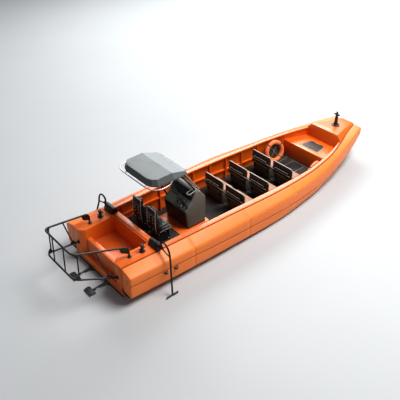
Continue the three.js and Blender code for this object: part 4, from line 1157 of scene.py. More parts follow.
def inflated(data, cap, low, high):
    """The skin after its filling swells it, no point moving further than cap or out of the box."""
    start = points_of(data)
    holder = standing("foam", data)
    fill = holder.modifiers.new("fill", "CLOTH")
    fill.settings.quality = 5
    fill.settings.use_pressure = True
    fill.settings.uniform_pressure_force = FILL_PRESSURE
    fill.settings.effector_weights.gravity = 0
    fill.point_cache.frame_start, fill.point_cache.frame_end = 1, SIM_FRAMES
    for number in range(1, SIM_FRAMES + 1):
        scene.frame_set(number)
    graph = bpy.context.evaluated_depsgraph_get()
    swollen = points_of(holder.evaluated_get(graph).data)
    scene.frame_set(1)
    holder.modifiers.remove(fill)
    bpy.data.objects.remove(holder)
    move = swollen - start
    reach = np.linalg.norm(move, axis=1, keepdims=True)
    move *= np.minimum(1, cap / np.maximum(reach, 1e-9))
    mean = np.linalg.norm(move, axis=1).mean()
    print(f"cushion of {len(start)} points swelled {mean * 1000:.1f} mm on average")
    data.vertices.foreach_set("co", np.clip(start + move, low, high).ravel())
    data.update()
    return data


def sewn(data, channels, inward):
    """Pulls seams into the skin: each channel is (axis, place, half width, depth)."""
    points = points_of(data)
    pull = np.zeros(len(points))
    for axis, place, half, depth in channels:
        pull = np.maximum(pull, depth * np.exp(-((points[:, axis] - place) / half) ** 2))
    normals = np.array([v.normal for v in data.vertices])
    facing_out = np.clip(-normals @ np.array(inward), 0, 1)
    data.vertices.foreach_set("co", (points - normals * (pull * facing_out)[:, None]).ravel())
    data.update()
    return data


def on_skin(data, path):
    """Points moved to just over the nearest place on a skin."""
    tree = BVHTree.FromPolygons([v.co for v in data.vertices], [p.vertices for p in data.polygons])
    found = [tree.find_nearest(point)[:2] for point in path]
    return [place + normal * THREAD_LIFT for place, normal in found]


def stitch_row(data, start, end):
    start, end = Vector(start), Vector(end)
    count = max(int((end - start).length / STITCH_SPACING), 2)
    path = on_skin(data, [start.lerp(end, k / count) for k in range(count + 1)])
    return [((a + b) / 2, (b - a).normalized()) for a, b in zip(path, path[1:])
            if (b - a).length > SHORTEST_STITCH]


# %% Make one bench's cushions
PAD_LOW_Y, PAD_HIGH_Y = BENCH_INNER + PAD_MARGIN, BENCH_OUTER - PAD_MARGIN
SEAT_LOW = (0.0905, PAD_LOW_Y, BOX_TOP + 0.0005)
SEAT_HIGH = (BENCH_DEPTH - 0.002, PAD_HIGH_Y, 0.706)
BACK_LOW = (0.0005, PAD_LOW_Y, 0.640)
BACK_HIGH = (0.088, PAD_HIGH_Y, 1.030)
SWELL = 0.012


def cushion(low, high, channels, inward, edge):
    """One cushion in its box: foam a little smaller than the box, swollen, then sewn."""
    foam = Shape(TAN)
    foam.brick([v + SWELL * 0.8 for v in low], [v - SWELL * 0.8 for v in high], edge)
    return sewn(inflated(remeshed(foam), SWELL, low, high), channels, inward)


PAD_MIDDLE_Y = (PAD_LOW_Y + PAD_HIGH_Y) / 2
SEAT_CHANNEL_X, BACK_CHANNEL_Z = (0.24, 0.39), (0.79, 0.91)
seat_channels = [(1, PAD_MIDDLE_Y, 0.011, 0.016)] + [(0, x, 0.010, 0.006) for x in SEAT_CHANNEL_X]
back_channels = [(1, PAD_MIDDLE_Y, 0.011, 0.014)] + [(2, z, 0.010, 0.006) for z in BACK_CHANNEL_Z]
seat_skin = cushion(SEAT_LOW, SEAT_HIGH, seat_channels, (0, 0, -1), 0.030)
back_skin = cushion(BACK_LOW, BACK_HIGH, back_channels, (-1, 0, 0), 0.028)


def channel_stitches(data, axis, places, start, end, off):
    """Two rows of stitches beside each channel; start and end are given for a channel at zero."""
    rows = []
    for place in places:
        for shift in (-off, off):
            ends = [[place + shift if i == axis else v for i, v in enumerate(p)] for p in (start, end)]
            rows += stitch_row(data, *ends)
    return rows


first_y, last_y = PAD_LOW_Y + 0.03, PAD_HIGH_Y - 0.03
bench_stitches = stitched(
    channel_stitches(seat_skin, 0, SEAT_CHANNEL_X, (0, first_y, 0.72), (0, last_y, 0.72), 0.011)
    + channel_stitches(back_skin, 2, BACK_CHANNEL_Z, (0.10, first_y, 0), (0.10, last_y, 0), 0.011))
for row, x in enumerate(ROW_X, 1):
    for name, side in SIDES:
        cover = Shape(TAN)
        cover.add(seat_skin)
        cover.add(back_skin)
        cover.use(THREAD).add(bench_stitches)
        shift = Vector((x, 0 if side > 0 else -(PAD_LOW_Y + PAD_HIGH_Y), 0))
        bmesh.ops.translate(cover.mesh, verts=cover.mesh.verts[:], vec=shift)
        piece = cover.piece(f"bench_cushions_{row}_{name}", "hull", "tan_pad", [f"bench_pad_{row}_{name}"],
                            SOFT_ANGLE)

# %% [markdown]
# ## Bench boxes, boards and grab rails
# The boxes are moulded with a toe space and a pale strip along the top. Each board is a black moulding
# whose upper edge is capped with a pale extrusion, so the rows read as bright lines from above. The grab
# rails behind the boards are pale coated tube on short black stubs.

# %% Build the bench boxes and boards
BOX_INNER, BOX_OUTER = 0.130, 0.930
BOARD = 0.035
BOARD_LOW, BOARD_SPLIT, BOARD_TOP = 0.600, 0.668, 1.125
GRIP_OFF, GRIP_LOW, GRIP_HIGH = 0.060, 0.840, 0.930
GRIP_FROM, GRIP_TO = 0.190, 0.845
EDGING_DROP = 0.070
BRACKET_Y = (0.220, 0.840)
GRIP_STUB = 0.06


def edging(shape, path, side_way, width, height):
    """A flat strip with chamfered edges that follows a path."""
    path = [Vector(p) for p in path]
    rings = []
    for i, here in enumerate(path):
        ahead = (path[min(i + 1, len(path) - 1)] - path[max(i - 1, 0)]).normalized()
        up = ahead.cross(side_way).normalized()
        rings.append([here + side_way * width / 2 * a + up * height / 2 * b for a, b in (
            (-1, -0.5), (-0.9, -1), (0.9, -1), (1, -0.5), (1, 0.5), (0.9, 1), (-0.9, 1), (-1, 0.5))])
    shape.skin(rings)


def board_outline(side, x):
    corners = (((BENCH_INNER, BOARD_SPLIT), 0.015), ((BENCH_OUTER, BOARD_SPLIT), 0.020),
               ((BENCH_OUTER, BOARD_TOP), 0.085), ((BENCH_INNER, BOARD_TOP), 0.050))
    return [Vector((x, side * p.x, p.y)) for p in rounded_each(corners, 6)]


def bench_box(boxes, side, x, low):
    near, far = sorted((side * BOX_INNER, side * BOX_OUTER))
    end = x + BENCH_DEPTH
    outline = rounded([(x + 0.06, low + 0.02), (end - 0.04, low + 0.02), (end, BOX_TOP - 0.06),
                       (end, BOX_TOP), (x, BOX_TOP), (x, BOX_TOP - 0.06)], 0.014, 3)
    boxes.side_slab(outline, near, far, 0.012, 3)
    middle = (near + far) / 2
    for y0, y1 in ((near + 0.05, middle - 0.02), (middle + 0.02, far - 0.05)):
        foot, head = (x + 0.052, low + 0.06), (x + 0.010, BOX_TOP - 0.10)
        boxes.slab([(at, y, z) for (at, z), y in ((foot, y0), (foot, y1), (head, y1), (head, y0))],
                   (-0.006, 0, -0.001), 0.003)


def bench_board(boards, side, x):
    """A bench's board with its lower trim, brackets, pale edge and grip."""
    behind, rail = x - BOARD, x - BOARD - GRIP_OFF
    near, far = sorted((side * BENCH_INNER, side * BENCH_OUTER))
    boards.use(BOARD_BLACK).slab(board_outline(side, behind), (BOARD, 0, 0), 0.009, 3)
    boards.use(BOX_GREY).brick((behind + 0.004, near + 0.012, BOARD_LOW),
                               (x - 0.003, far - 0.012, BOARD_SPLIT - 0.004), 0.005)
    top = [p for p in board_outline(side, x - BOARD / 2) if p.z > BOARD_TOP - EDGING_DROP]
    edging(boards.use(PALE_TRIM), top, Vector((1, 0, 0)), BOARD + 0.004, 0.012)
    boards.brick((behind - 0.002, near + 0.055, BOARD_LOW + 0.040),
                 (behind + 0.006, far - 0.055, BOARD_LOW + 0.058), 0.003)
    boards.use(BLACK)
    for y in (side * BRACKET_Y[0], side * BRACKET_Y[1]):
        boards.brick((x - 0.032, y - 0.025, BOX_TOP - 0.130), (x - 0.0005, y + 0.025, BOARD_LOW + 0.06),
                     0.005)
        boards.pipe([(behind + 0.004, y, GRIP_LOW), (rail, y, GRIP_LOW)], 0.010, 0, 12)
        boards.turned((behind + 0.002, y, GRIP_LOW), (-1, 0, 0),
                      ((0, 0.026), (0.005, 0.026), (0.008, 0.014)), 16)
    ends = [Vector((behind, side * y, GRIP_HIGH)) for y in (GRIP_FROM + 0.02, GRIP_TO)]
    boards.use(PALE_TRIM).pipe([(rail, end.y, GRIP_HIGH) for end in ends], 0.0115, 0, 14)
    boards.use(BLACK)
    for end in ends:
        stub = end + Vector((0, (ends[0].y + ends[1].y) / 2 - end.y, 0)).normalized() * GRIP_STUB
        stub.x += 0.002
        boards.pipe([stub, (rail, stub.y, GRIP_HIGH)], 0.009, 0, 12)
        boards.turned(stub, (-1, 0, 0), ((0, 0.022), (0.006, 0.022), (0.010, 0.014)), 18)
    bolted(boards, [(Vector((behind - 0.0002, side * y, z)), (-1, 0, 0))
                    for y in (0.13, 0.53, 0.93) for z in (0.72, 1.03)], 0.007, 0.004, ALLOY)


def bench_row(row, x):
    boxes = Shape(BOX_GREY)
    boards = Shape(BLACK)
    low = PASSENGER_DECK + 0.0005
    for _, side in SIDES:
        bench_box(boxes, side, x, low)
        bench_board(boards, side, x)
    reach = BENCH_OUTER - 0.02
    boards.use(PALE_TRIM).pipe([(x - BOARD - GRIP_OFF, y, GRIP_LOW) for y in (-reach, reach)], 0.013, 0, 16)
    for at in (x + 0.090, x + BENCH_DEPTH - 0.090):
        boxes.brick((at, -BOX_OUTER, low), (at + 0.05, BOX_OUTER, low + 0.025), 0.003)
    boxes.piece(f"bench_boxes_moulded_{row}", "hull", "deck_grey", [f"bench_boxes_{row}"])
    boards.piece(f"bench_boards_{row}", "hull", "black_frame", [f"bench_backs_{row}"])


for row, x in enumerate(ROW_X, 1):
    bench_row(row, x)

# %% [markdown]
# ## Deck mats, foredeck hatch and life rings
# The mats forward of the benches are laid in panels with pale joints. The hatch lid is a framed panel with
# two hinges and a turning latch; it moves, so it is a piece of its own. Each life ring has a woven
# cover, four dark straps and a grab line, and leans on a dark board with two pale bars.

# %% Lay the mat joints and build the hatch lid
JOINT = 0.016
JOINT_LOW, JOINT_HIGH = PASSENGER_DECK + 0.0004, PASSENGER_DECK + 0.004
MAT_AFT, MAT_FORE, MAT_HALF = 8.20, 9.42, 0.90
joints = Shape(PALE_TRIM)
for y in (0.78, 0.44, -0.12, -0.62):
    joints.brick((MAT_AFT, y - JOINT / 2, JOINT_LOW), (MAT_FORE, y + JOINT / 2, JOINT_HIGH), 0.0015)
for x in (MAT_AFT, MAT_FORE):
    joints.brick((x - JOINT / 2, -MAT_HALF, JOINT_LOW), (x + JOINT / 2, MAT_HALF, JOINT_HIGH), 0.0015)
joints.piece("mat_joints", "hull", "pale_tube")

HATCH_LOW, HATCH_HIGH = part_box("foredeck_hatch")
HATCH_AFT, HATCH_FORE = 0.432, 0.341


def hatch_face(depth, height):
    corners = [(HATCH_LOW.x + depth, -HATCH_AFT + depth), (HATCH_HIGH.x - depth, -HATCH_FORE + depth),
               (HATCH_HIGH.x - depth, HATCH_FORE - depth), (HATCH_LOW.x + depth, HATCH_AFT - depth)]
    return [(p.x, p.y, height) for p in rounded(corners, 0.03, 4)]


lid = Shape(PALE_TRIM)
lid.slab(hatch_face(0, HATCH_LOW.z), (0, 0, 0.030), 0.004)
lid.use(HATCH_BROWN).slab(hatch_face(0.022, HATCH_LOW.z + 0.029), (0, 0, 0.0045), 0.0015)
lid.use(BLACK)
hinge_x, latch_x, top_z = HATCH_HIGH.x, HATCH_LOW.x, HATCH_HIGH.z
for y in (-0.2, 0.2):
    lid.brick((hinge_x - 0.09, y - 0.035, top_z - 0.003), (hinge_x - 0.004, y + 0.035, top_z + 0.004), 0.002)
    bolted(lid, [(Vector((hinge_x - 0.065, y + off, top_z + 0.003)), (0, 0, 1)) for off in (-0.02, 0.02)],
           0.006, 0.003, BLACK)
lid.turned((latch_x + 0.075, 0, top_z - 0.002), (0, 0, 1),
           ((0, 0.034), (0.003, 0.036), (0.005, 0.033), (0.0052, 0.020), (0.003, 0.018)), 28)
lid.brick((latch_x + 0.050, -0.006, top_z), (latch_x + 0.100, 0.006, top_z + 0.006), 0.002)
lid.piece("hatch_lid", "hatch", "deck_grey", ["foredeck_hatch"])

# %% Cover the life rings
RING_RADIUS, RING_TUBE = 0.364, 0.087
RING_LEAN, RING_TURN = math.radians(14), math.radians(10)
STRAPS = [math.radians(v) for v in (40, 130, 220, 310)]
STRAP_HALF = 0.045
LINE_SAG = 0.016


def ring_frame(side):
    """The ring's own directions: across its tube's circle twice, and its axis."""
    lean = Matrix.Rotation(math.pi / 2 - side * RING_LEAN, 3, "X")
    turn = Matrix.Rotation(-side * RING_TURN, 3, "Z") @ lean
    return turn @ Vector((1, 0, 0)), turn @ Vector((0, 1, 0)), turn @ Vector((0, 0, 1))


for name, side in SIDES:
    low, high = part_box("life_ring_" + name)
    centre = (low + high) / 2
    across_way, up_way, axis_way = ring_frame(side)

    def ring_point(angle, radius, lift):
        around = across_way * math.cos(angle) + up_way * math.sin(angle)
        return centre + around * radius + axis_way * lift

    def tube(turns, fat, sides):
        """Rings of the tube's section, one at each of the given angles."""
        return [[ring_point(a, RING_RADIUS + fat * math.cos(b), fat * math.sin(b)) for b in angles(sides)]
                for a in turns]

    ring = Shape(RING_ORANGE)
    ring.skin(tube(angles(96), RING_TUBE - 0.002, 32), loop=True)
    ring.use(WEBBING)
    for a in STRAPS:
        ring.skin(tube([a + STRAP_HALF * k / 2 for k in range(-2, 3)], RING_TUBE + 0.002, 28))
    ring.piece("life_ring_cover_" + name, "hull", "life_orange", ["life_ring_" + name], SOFT_ANGLE)
    for k, (a, b) in enumerate(zip(STRAPS, STRAPS[1:] + [STRAPS[0] + math.tau]), 1):
        rope = Shape(WEBBING)
        outer = RING_RADIUS + RING_TUBE + 0.006
        rope.pipe([ring_point(a + (b - a) * t, outer + LINE_SAG * math.sin(math.pi * t), 0.02)
                   for t in (j / 10 for j in range(11))], 0.006, 0, 10)
        rope.piece(f"ring_line_{name}_{k}", "hull", "black_pad", (), SOFT_ANGLE)
    cradle = Shape(BOARD_BLACK)
    backing = [ring_point(a, RING_RADIUS - 0.070, side * -0.058) for a in angles(36)]
    cradle.slab(backing, axis_way * side * 0.008, 0.002)
    cradle.use(PALE_TRIM)
    for tilt in (-0.6, 0.6):
        cradle.pipe([ring_point(math.pi / 2 + tilt + turn, RING_RADIUS - 0.06, side * -0.02)
                     for turn in (math.pi, 0)], 0.009, 0, 12)
    cradle.piece("ring_cradle_" + name, "hull", "pale_tube")

# %% [markdown]
# ## Helm console
# The console is one moulding: an aft face that leans in at the foot for the helmsman's knees, a sloping
# dash with a steeper black panel above it, a low hood and a raked front. Its side outline is extruded
# across the boat with a large edge radius, as a mould needs. Displays, gauges and switches are separate
# parts let into the panel and the dash. The knee face carries two dark brown panels, each with a black
# knob; their dark colour is painted shade under the dash.

# %% Mould the console and fit the dash
CONSOLE_HALF = 0.565
CONSOLE_FOOT = HELM_DECK + 0.0005
HOOD_Z = 1.840
FOOT_EDGE, LIP = Vector((3.100, 0, CONSOLE_FOOT)), Vector((2.990, 0, 1.250))
BEND, HOOD_AFT = Vector((3.270, 0, 1.540)), Vector((3.420, 0, HOOD_Z))
KNEE, DASH, PANEL = (FOOT_EDGE, LIP), (LIP, BEND), (BEND, HOOD_AFT)
SWITCHES, SWITCH_FROM, SWITCH_PITCH, SWITCH_WIDTH = 8, 0.10, 0.042, 0.026


def face_ways(face):
    """The way up one of the console's aft faces, and the way out of it."""
    way = (face[1] - face[0]).normalized()
    return way, Vector((-way.z, 0, way.x))


def on_face(face, share, y, lift=0.0):
    """A point on an aft face: share of the way up, place across, height off the face."""
    return face[0].lerp(face[1], share) + Vector((0, y, 0)) + face_ways(face)[1] * lift


def panel(shape, face, share0, share1, y0, y1, lift, thick, corner=0.012, edge=0.003):
    corners = rounded([on_face(face, share, y, lift) for share, y in
                       ((share0, y0), (share1, y0), (share1, y1), (share0, y1))], corner, 4)
    shape.slab(corners, face_ways(face)[1] * thick, edge)


console = Shape(CONSOLE_GREY)
side_view = rounded([*((p.x, p.z) for p in (FOOT_EDGE, LIP, BEND, HOOD_AFT)), (3.600, HOOD_Z), (3.850, 1.510),
                     (3.850, CONSOLE_FOOT)], [0.01, 0.030, 0.030, 0.040, 0.060, 0.070, 0.01], 5)
console.side_slab(side_view, -CONSOLE_HALF, CONSOLE_HALF, 0.045, 5)
console.use(BLACK)
panel(console, PANEL, 0.03, 0.90, -0.500, 0.500, -0.001, 0.006, 0.02)
console.use(SCREEN_GLASS)
for y0, y1 in ((0.05, 0.40), (-0.19, 0.01)):
    panel(console, PANEL, 0.12, 0.82, y0, y1, 0.004, 0.008, 0.012)
console.use(PALE_TRIM)
for y in (-0.455, -0.395, -0.335, -0.275):
    console.turned(on_face(PANEL, 0.50, y, 0.004), face_ways(PANEL)[1],
                   ((0, 0.022), (0.004, 0.023), (0.007, 0.019)), 20)
console.use(RUBBER)
for k in range(SWITCHES):
    y = SWITCH_FROM + k * SWITCH_PITCH
    panel(console, DASH, 0.80, 0.89, y, y + SWITCH_WIDTH, -0.001, 0.009, 0.004, 0.002)
# Dark brown panels on the knee face, each with a black knob: painted shade under the dash.
for y0, y1, knob_y in ((-0.52, -0.01, -0.06), (0.01, 0.52, 0.06)):
    panel(console.use(KNEE_SHADE_PANEL), KNEE, 0.06, 0.95, y0, y1, -0.001, 0.007, 0.03)
    console.use(BLACK).turned(on_face(KNEE, 0.6, knob_y, 0.005), face_ways(KNEE)[1],
                              ((0, 0.020), (0.004, 0.020), (0.007, 0.012)), 18)
console.piece("console_moulding", "hull", "console_grey", ["console"], 30)

# %% [markdown]
# ## Steering wheel and throttle
# The wheel turns, so it is one piece on its own body, square to the dash: a gripped rim, three spokes, a
# hub and a column. The throttle has two levers joined by one grip.

# %% Build the wheel and the throttle
WHEEL_Y, WHEEL_SHARE, WHEEL_OFF = -0.300, 0.50, 0.120
WHEEL_RADIUS, RIM_RADIUS, RIM_WAVE, RIM_WAVES = 0.165, 0.014, 0.05, 24
DASH_WAY, DASH_FACE = face_ways(DASH)
THROTTLE_Y, THROTTLE_HALF = -0.060, 0.045
wheel_seat = on_face(DASH, WHEEL_SHARE, WHEEL_Y)
wheel_centre = wheel_seat + DASH_FACE * WHEEL_OFF
wheel_side = Vector((0, 1, 0))


def wheel_point(angle, radius, lift):
    around = DASH_WAY * math.cos(angle) + wheel_side * math.sin(angle)
    return wheel_centre + around * radius + DASH_FACE * lift


def rim_ring(angle):
    grip = RIM_RADIUS * (1 + RIM_WAVE * math.cos(RIM_WAVES * angle))
    return [wheel_point(angle, WHEEL_RADIUS + grip * math.cos(b), grip * math.sin(b)) for b in angles(14)]


wheel = Shape(RUBBER)
wheel.skin([rim_ring(a) for a in angles(72)], loop=True)
wheel.use(ALLOY)
for a in (math.radians(turn) for turn in (90, 210, 330)):
    for off in (-1, 1):
        wheel.pipe([wheel_point(a + off * 0.15, 0.02, -0.010), wheel_point(a + off * 0.03, WHEEL_RADIUS, 0)],
                   0.006, 0, 10)
wheel.use(BLACK).turned(wheel_seat + DASH_FACE * 0.0005, DASH_FACE,
                        ((0, 0.046), (0.010, 0.046), (0.014, 0.030), (0.095, 0.024), (0.100, 0.040),
                         (0.128, 0.042), (0.134, 0.036), (0.136, 0.02)), 28)
wheel.piece("helm_wheel", "wheel", "black_frame", ["steering_wheel"])

throttle = Shape(BLACK)
base = on_face(DASH, WHEEL_SHARE, THROTTLE_Y)
corners = rounded([base + DASH_WAY * a * THROTTLE_HALF + wheel_side * b * THROTTLE_HALF + DASH_FACE * 0.0005
                   for a, b in ((-1, -1), (1, -1), (1, 1), (-1, 1))], 0.015, 4)
throttle.slab(corners, DASH_FACE * 0.050, 0.012, 3)
top = base + DASH_FACE * 0.040
for y in (-0.022, 0.022):
    throttle.use(ALLOY).pipe([top + Vector((0, y, 0)), top + Vector((-0.030, y, 0.130))], 0.008, 0, 12)
throttle.use(RUBBER).pipe([top + Vector((-0.030, y, 0.130)) for y in (-0.042, 0.042)], 0.016, 0, 18)
throttle.piece("throttle_levers", "hull", "black_frame", ["throttle_lever"])

# %% [markdown]
# ## Windscreen, struts and hardtop
# Two raked black legs each side carry the hardtop. The windscreen stands in a pale tube frame forward of
# them. The hardtop is a faceted moulding: a flat after part, a forward slope and chamfered corners, all
# with crisp edges, over a rim and a rubber gasket. The forward slope is a paler grey, painted light, and
# the rim and underside a darker grey, painted shade.

# %% Frame and glaze the windscreen
ROOF_UNDER = 2.880
SCREEN_FOOT = Vector((3.560, 0.540, 1.915))
SCREEN_TOP = Vector((2.880, 0.590, ROOF_UNDER - 0.0005))
SCREEN_TUBE = 0.019
HEAD_SHARE = 0.95
LOOP_AFT_X, LOOP_INNER_Y, LOOP_DROP = 3.160, 0.400, 0.075
LEG_BACK = 0.012
PANE_GAP, PANE_HALF = 0.020, 0.003
screen = Shape(PALE_TRIM)
head = SCREEN_FOOT.lerp(SCREEN_TOP, HEAD_SHARE)
for low in (SCREEN_FOOT, head):
    screen.pipe([across(low), low], SCREEN_TUBE, 0, 16)
for _, side in SIDES:
    foot, top = across(SCREEN_FOOT, side), across(SCREEN_TOP, side)
    leg_x = foot.x - LEG_BACK
    screen.pipe([foot, top - Vector((0, 0, 0.006))], SCREEN_TUBE, 0, 16)
    loop = [(LOOP_AFT_X, y, foot.z - LOOP_DROP) for y in (foot.y, side * LOOP_INNER_Y)]
    screen.pipe([foot, *loop, (leg_x, side * LOOP_INNER_Y, foot.z)], SCREEN_TUBE, 0.05, 16)
    screen.pipe([(leg_x, foot.y, foot.z), (leg_x, foot.y, HOOD_Z - 0.004)], SCREEN_TUBE, 0, 16)
    screen.turned(top, (0, 0, -1), ((0, 0.052), (0.006, 0.052), (0.010, 0.047), (0.012, 0.03)), 24)
    screen.turned((leg_x, foot.y, HOOD_Z - 0.001), (0, 0, 1),
                  ((0, 0.040), (0.006, 0.040), (0.010, 0.024)), 24)
screen.piece("windscreen_tubes", "hull", "pale_tube", ["windscreen_frame"])

pane = Shape(GLASS)
face = (head - SCREEN_FOOT).cross(Vector((0, 1, 0))).normalized()
clear = Vector((0, PANE_GAP, 0))
up = (head - SCREEN_FOOT).normalized() * PANE_GAP
low, high = SCREEN_FOOT - clear + up, head - clear - up
pane.slab([p - face * PANE_HALF for p in rounded([across(low), low, high, across(high)], 0.02, 3)],
          face * PANE_HALF * 2, 0.0015)
pane.piece("windscreen_pane", "hull", "glass", ["windscreen_glass"])

# %% Weld the struts
STRUT_RADIUS, TIE_RADIUS = 0.026, 0.022
TIE_Y, TIE_Z = 0.520, ROOF_UNDER - 0.024
STRUT_FEET = (((3.510, 0.470, HOOD_Z - 0.02), 2.740), ((3.130, 0.525, 1.310), 2.340))
struts = Shape(BLACK)
for _, side in SIDES:
    for foot, top_x in STRUT_FEET:
        struts.pipe([across(foot, side), (top_x, side * TIE_Y, TIE_Z)], STRUT_RADIUS, 0, 18)
    struts.pipe([(x, side * TIE_Y, TIE_Z) for x in (2.260, 2.820)], TIE_RADIUS, 0, 16)
for _, x in reversed(STRUT_FEET):
    struts.pipe([(x, y, TIE_Z) for y in (-TIE_Y, TIE_Y)], TIE_RADIUS, 0, 16)
struts.piece("canopy_legs", "hull", "black_frame", ["canopy_struts"])

# %% Mould the hardtop
ROOF_RIM = ((1.595, 0.500), (1.665, 0.680), (1.805, 0.800), (2.370, 0.830), (2.895, 0.795), (2.965, 0.640))
ROOF_RINGS = (
    [(x, y, ROOF_UNDER) for x, y in ROOF_RIM],
    [(x, y, z) for (x, y), z in zip(ROOF_RIM, (2.925, 2.925, 2.925, 2.925, 2.905, 2.920))],
    [(1.640, 0.480, 3.100), (1.700, 0.640, 3.104), (1.815, 0.735, 3.107), (2.370, 0.745, 3.110),
     (2.865, 0.700, 2.950), (2.955, 0.614, 2.945)],
)
RIDGE = 3


def roof_shape():
    """The hardtop's facets; the top and the underside are strips across the boat."""
    shape = Shape(ROOF_GREY)
    rings = [both_ways([Vector(p) for p in half]) for half in ROOF_RINGS]
    rows = [[shape.mesh.verts.new(p) for p in ring] for ring in rings]
    count = len(rows[0])
    # The rim band takes the darker grey as painted shade.
    for low, high, finish in zip(rows, rows[1:], (ROOF_SHADED_RIM, ROOF_GREY)):
        shape.use(finish)
        for k in range(count):
            j = (k + 1) % count
            shape.face((low[k], high[k], high[j], low[j]))
    # The underside takes the darker grey as painted shade; the top's forward facets take the paler grey as
    # painted light.
    for row, finish, slope, flip in ((rows[0], ROOF_SHADED_RIM, ROOF_SHADED_RIM, 1), (rows[2], ROOF_GREY, ROOF_LIT_SLOPE, -1)):
        for k in range(count // 2 - 1):
            shape.use(finish if k < RIDGE else slope)
            shape.face([row[k], row[k + 1], row[count - 2 - k], row[count - 1 - k]][::flip])
    bmesh.ops.recalc_face_normals(shape.mesh, faces=shape.mesh.faces[:])
    return shape


facets = roof_shape()
roof = Shape(ROOF_GREY)
roof.finishes = facets.finishes
roof.mesh.from_mesh(softened(facets.baked("hardtop_facets"), 0.006, 2, 6))
rim = [p.xy for p in both_ways([Vector(q) for q in ROOF_RINGS[0]])]
gasket = [(p.x, p.y, ROOF_UNDER - 0.007) for p in rounded(inset(rim, 0.030), 0.02, 3)]
roof.use(RUBBER).slab(gasket, (0, 0, 0.010), 0.003)
roof.piece("hardtop", "hull", "roof_grey", ["canopy_roof"], 3)

rail_half = ((2.330, 0.800), (2.140, 0.925), (1.810, 0.950), (1.590, 0.830), (1.515, 0.620))
rail = Shape(PALE_ALLOY)
rail.pipe(both_ways([Vector((x, y, ROOF_UNDER)) for x, y in rail_half]), 0.0175, 0.10, 16, 6)
for _, side in SIDES:
    for start, end in (((1.530, 0.500, ROOF_UNDER), (1.640, 0.480, ROOF_UNDER - 0.012)),
                       ((2.240, 0.858, ROOF_UNDER), (2.240, 0.790, ROOF_UNDER - 0.012))):
        rail.pipe([across(start, side), across(end, side)], 0.012, 0, 12)
        rail.turned(across(end, side) + Vector((0, 0, 0.011)), (0, 0, -1),
                    ((0, 0.030), (0.005, 0.030), (0.008, 0.018)), 18)
rail.piece("roof_handrail", "hull", "pale_tube", ["roof_rail"])

# %% [markdown]
# ## Helm seats
# Each helm seat is a black shell on a pedestal, with arm rests and a tall back that ends in a framed
# headrest. Pale welts follow the shell's edges and bright bolts show behind. The pads are foam, swollen
# by the same simulation as the benches' and sewn into channels across.

# %% Inflate the helm seat pads
SEAT_Y = 0.370
SEAT_HALF = 0.215
SEAT_TOP = 1.875
HELM_VOXEL, HELM_SWELL = 0.007, 0.010
BOLSTER_VOXEL, BOLSTER_SWELL = 0.008, 0.006
PAN_SEAM_X, BACK_SEAM_Z, HEAD_SEAM_Z = (2.09, 2.18, 2.27), (1.22, 1.31, 1.40, 1.49), 1.74


def padded_part(outline, half, edge, channels, inward):
    """Foam with a side outline of (x, z) across the seat, swollen and sewn."""
    foam = Shape(SEAT_VINYL)
    foam.side_slab(rounded(outline, 0.030, 4), -half, half, edge, 4)
    xs, zs = zip(*outline)
    low = (min(xs) - 0.004, -half - 0.008, min(zs) - 0.001)
    high = (max(xs) + 0.014, half + 0.008, max(zs) + 0.012)
    return sewn(inflated(remeshed(foam, HELM_VOXEL), HELM_SWELL, low, high), channels, inward)


PAN_TOP = 1.022
pan_pad = padded_part([(1.955, PAN_TOP), (2.385, PAN_TOP), (2.388, 1.098), (2.060, 1.106), (1.960, 1.080)],
                      0.175, 0.030, [(0, x, 0.010, 0.016) for x in PAN_SEAM_X], (0, 0, -1))
back_pad = padded_part([(1.945, 1.105), (2.048, 1.125), (1.982, 1.600), (1.888, 1.600)],
                       0.165, 0.028, [(2, z, 0.010, 0.014) for z in BACK_SEAM_Z], (-1, 0, 0))
head_pad = padded_part([(1.886, 1.640), (1.974, 1.640), (1.962, 1.845), (1.874, 1.845)],
                       0.130, 0.030, [(2, HEAD_SEAM_Z, 0.008, 0.008)], (-1, 0, 0))


def bolsters(outline, inner, outer):
    """The two side cushions that stand proud along the edges of the back or the pan."""
    made = []
    for y0, y1 in ((-outer, -inner), (inner, outer)):
        foam = Shape(SEAT_VINYL)
        foam.side_slab(rounded(outline, 0.03, 4), y0, y1, 0.016, 3)
        made.append(inflated(remeshed(foam, BOLSTER_VOXEL), BOLSTER_SWELL,
                             (1.80, y0 - BOLSTER_SWELL, 0.99), (2.42, y1 + BOLSTER_SWELL, 1.90)))
    return made


side_pads = bolsters([(1.935, 1.13), (2.085, 1.15), (2.020, 1.585), (1.885, 1.600)], 0.172, 0.212)
pan_rolls = bolsters([(2.00, PAN_TOP), (2.385, PAN_TOP), (2.385, 1.115), (2.06, 1.128), (2.00, 1.10)],
                     0.178, 0.212)
helm_stitches = stitched(channel_stitches(back_pad, 2, BACK_SEAM_Z, (2.07, -0.15, 0), (2.07, 0.15, 0), 0.012)
                         + channel_stitches(pan_pad, 0, PAN_SEAM_X, (0, -0.16, 1.13), (0, 0.16, 1.13), 0.012))

for name, side in SIDES:
    cover = Shape(SEAT_VINYL)
    for part in (pan_pad, back_pad, head_pad, *side_pads, *pan_rolls):
        cover.add(part)
    cover.use(THREAD).add(helm_stitches)
    bmesh.ops.translate(cover.mesh, verts=cover.mesh.verts[:], vec=(0, side * SEAT_Y, 0))
    piece = cover.piece("helm_cushions_" + name, "hull", "black_pad", ["helm_seat_pad_" + name], SOFT_ANGLE)

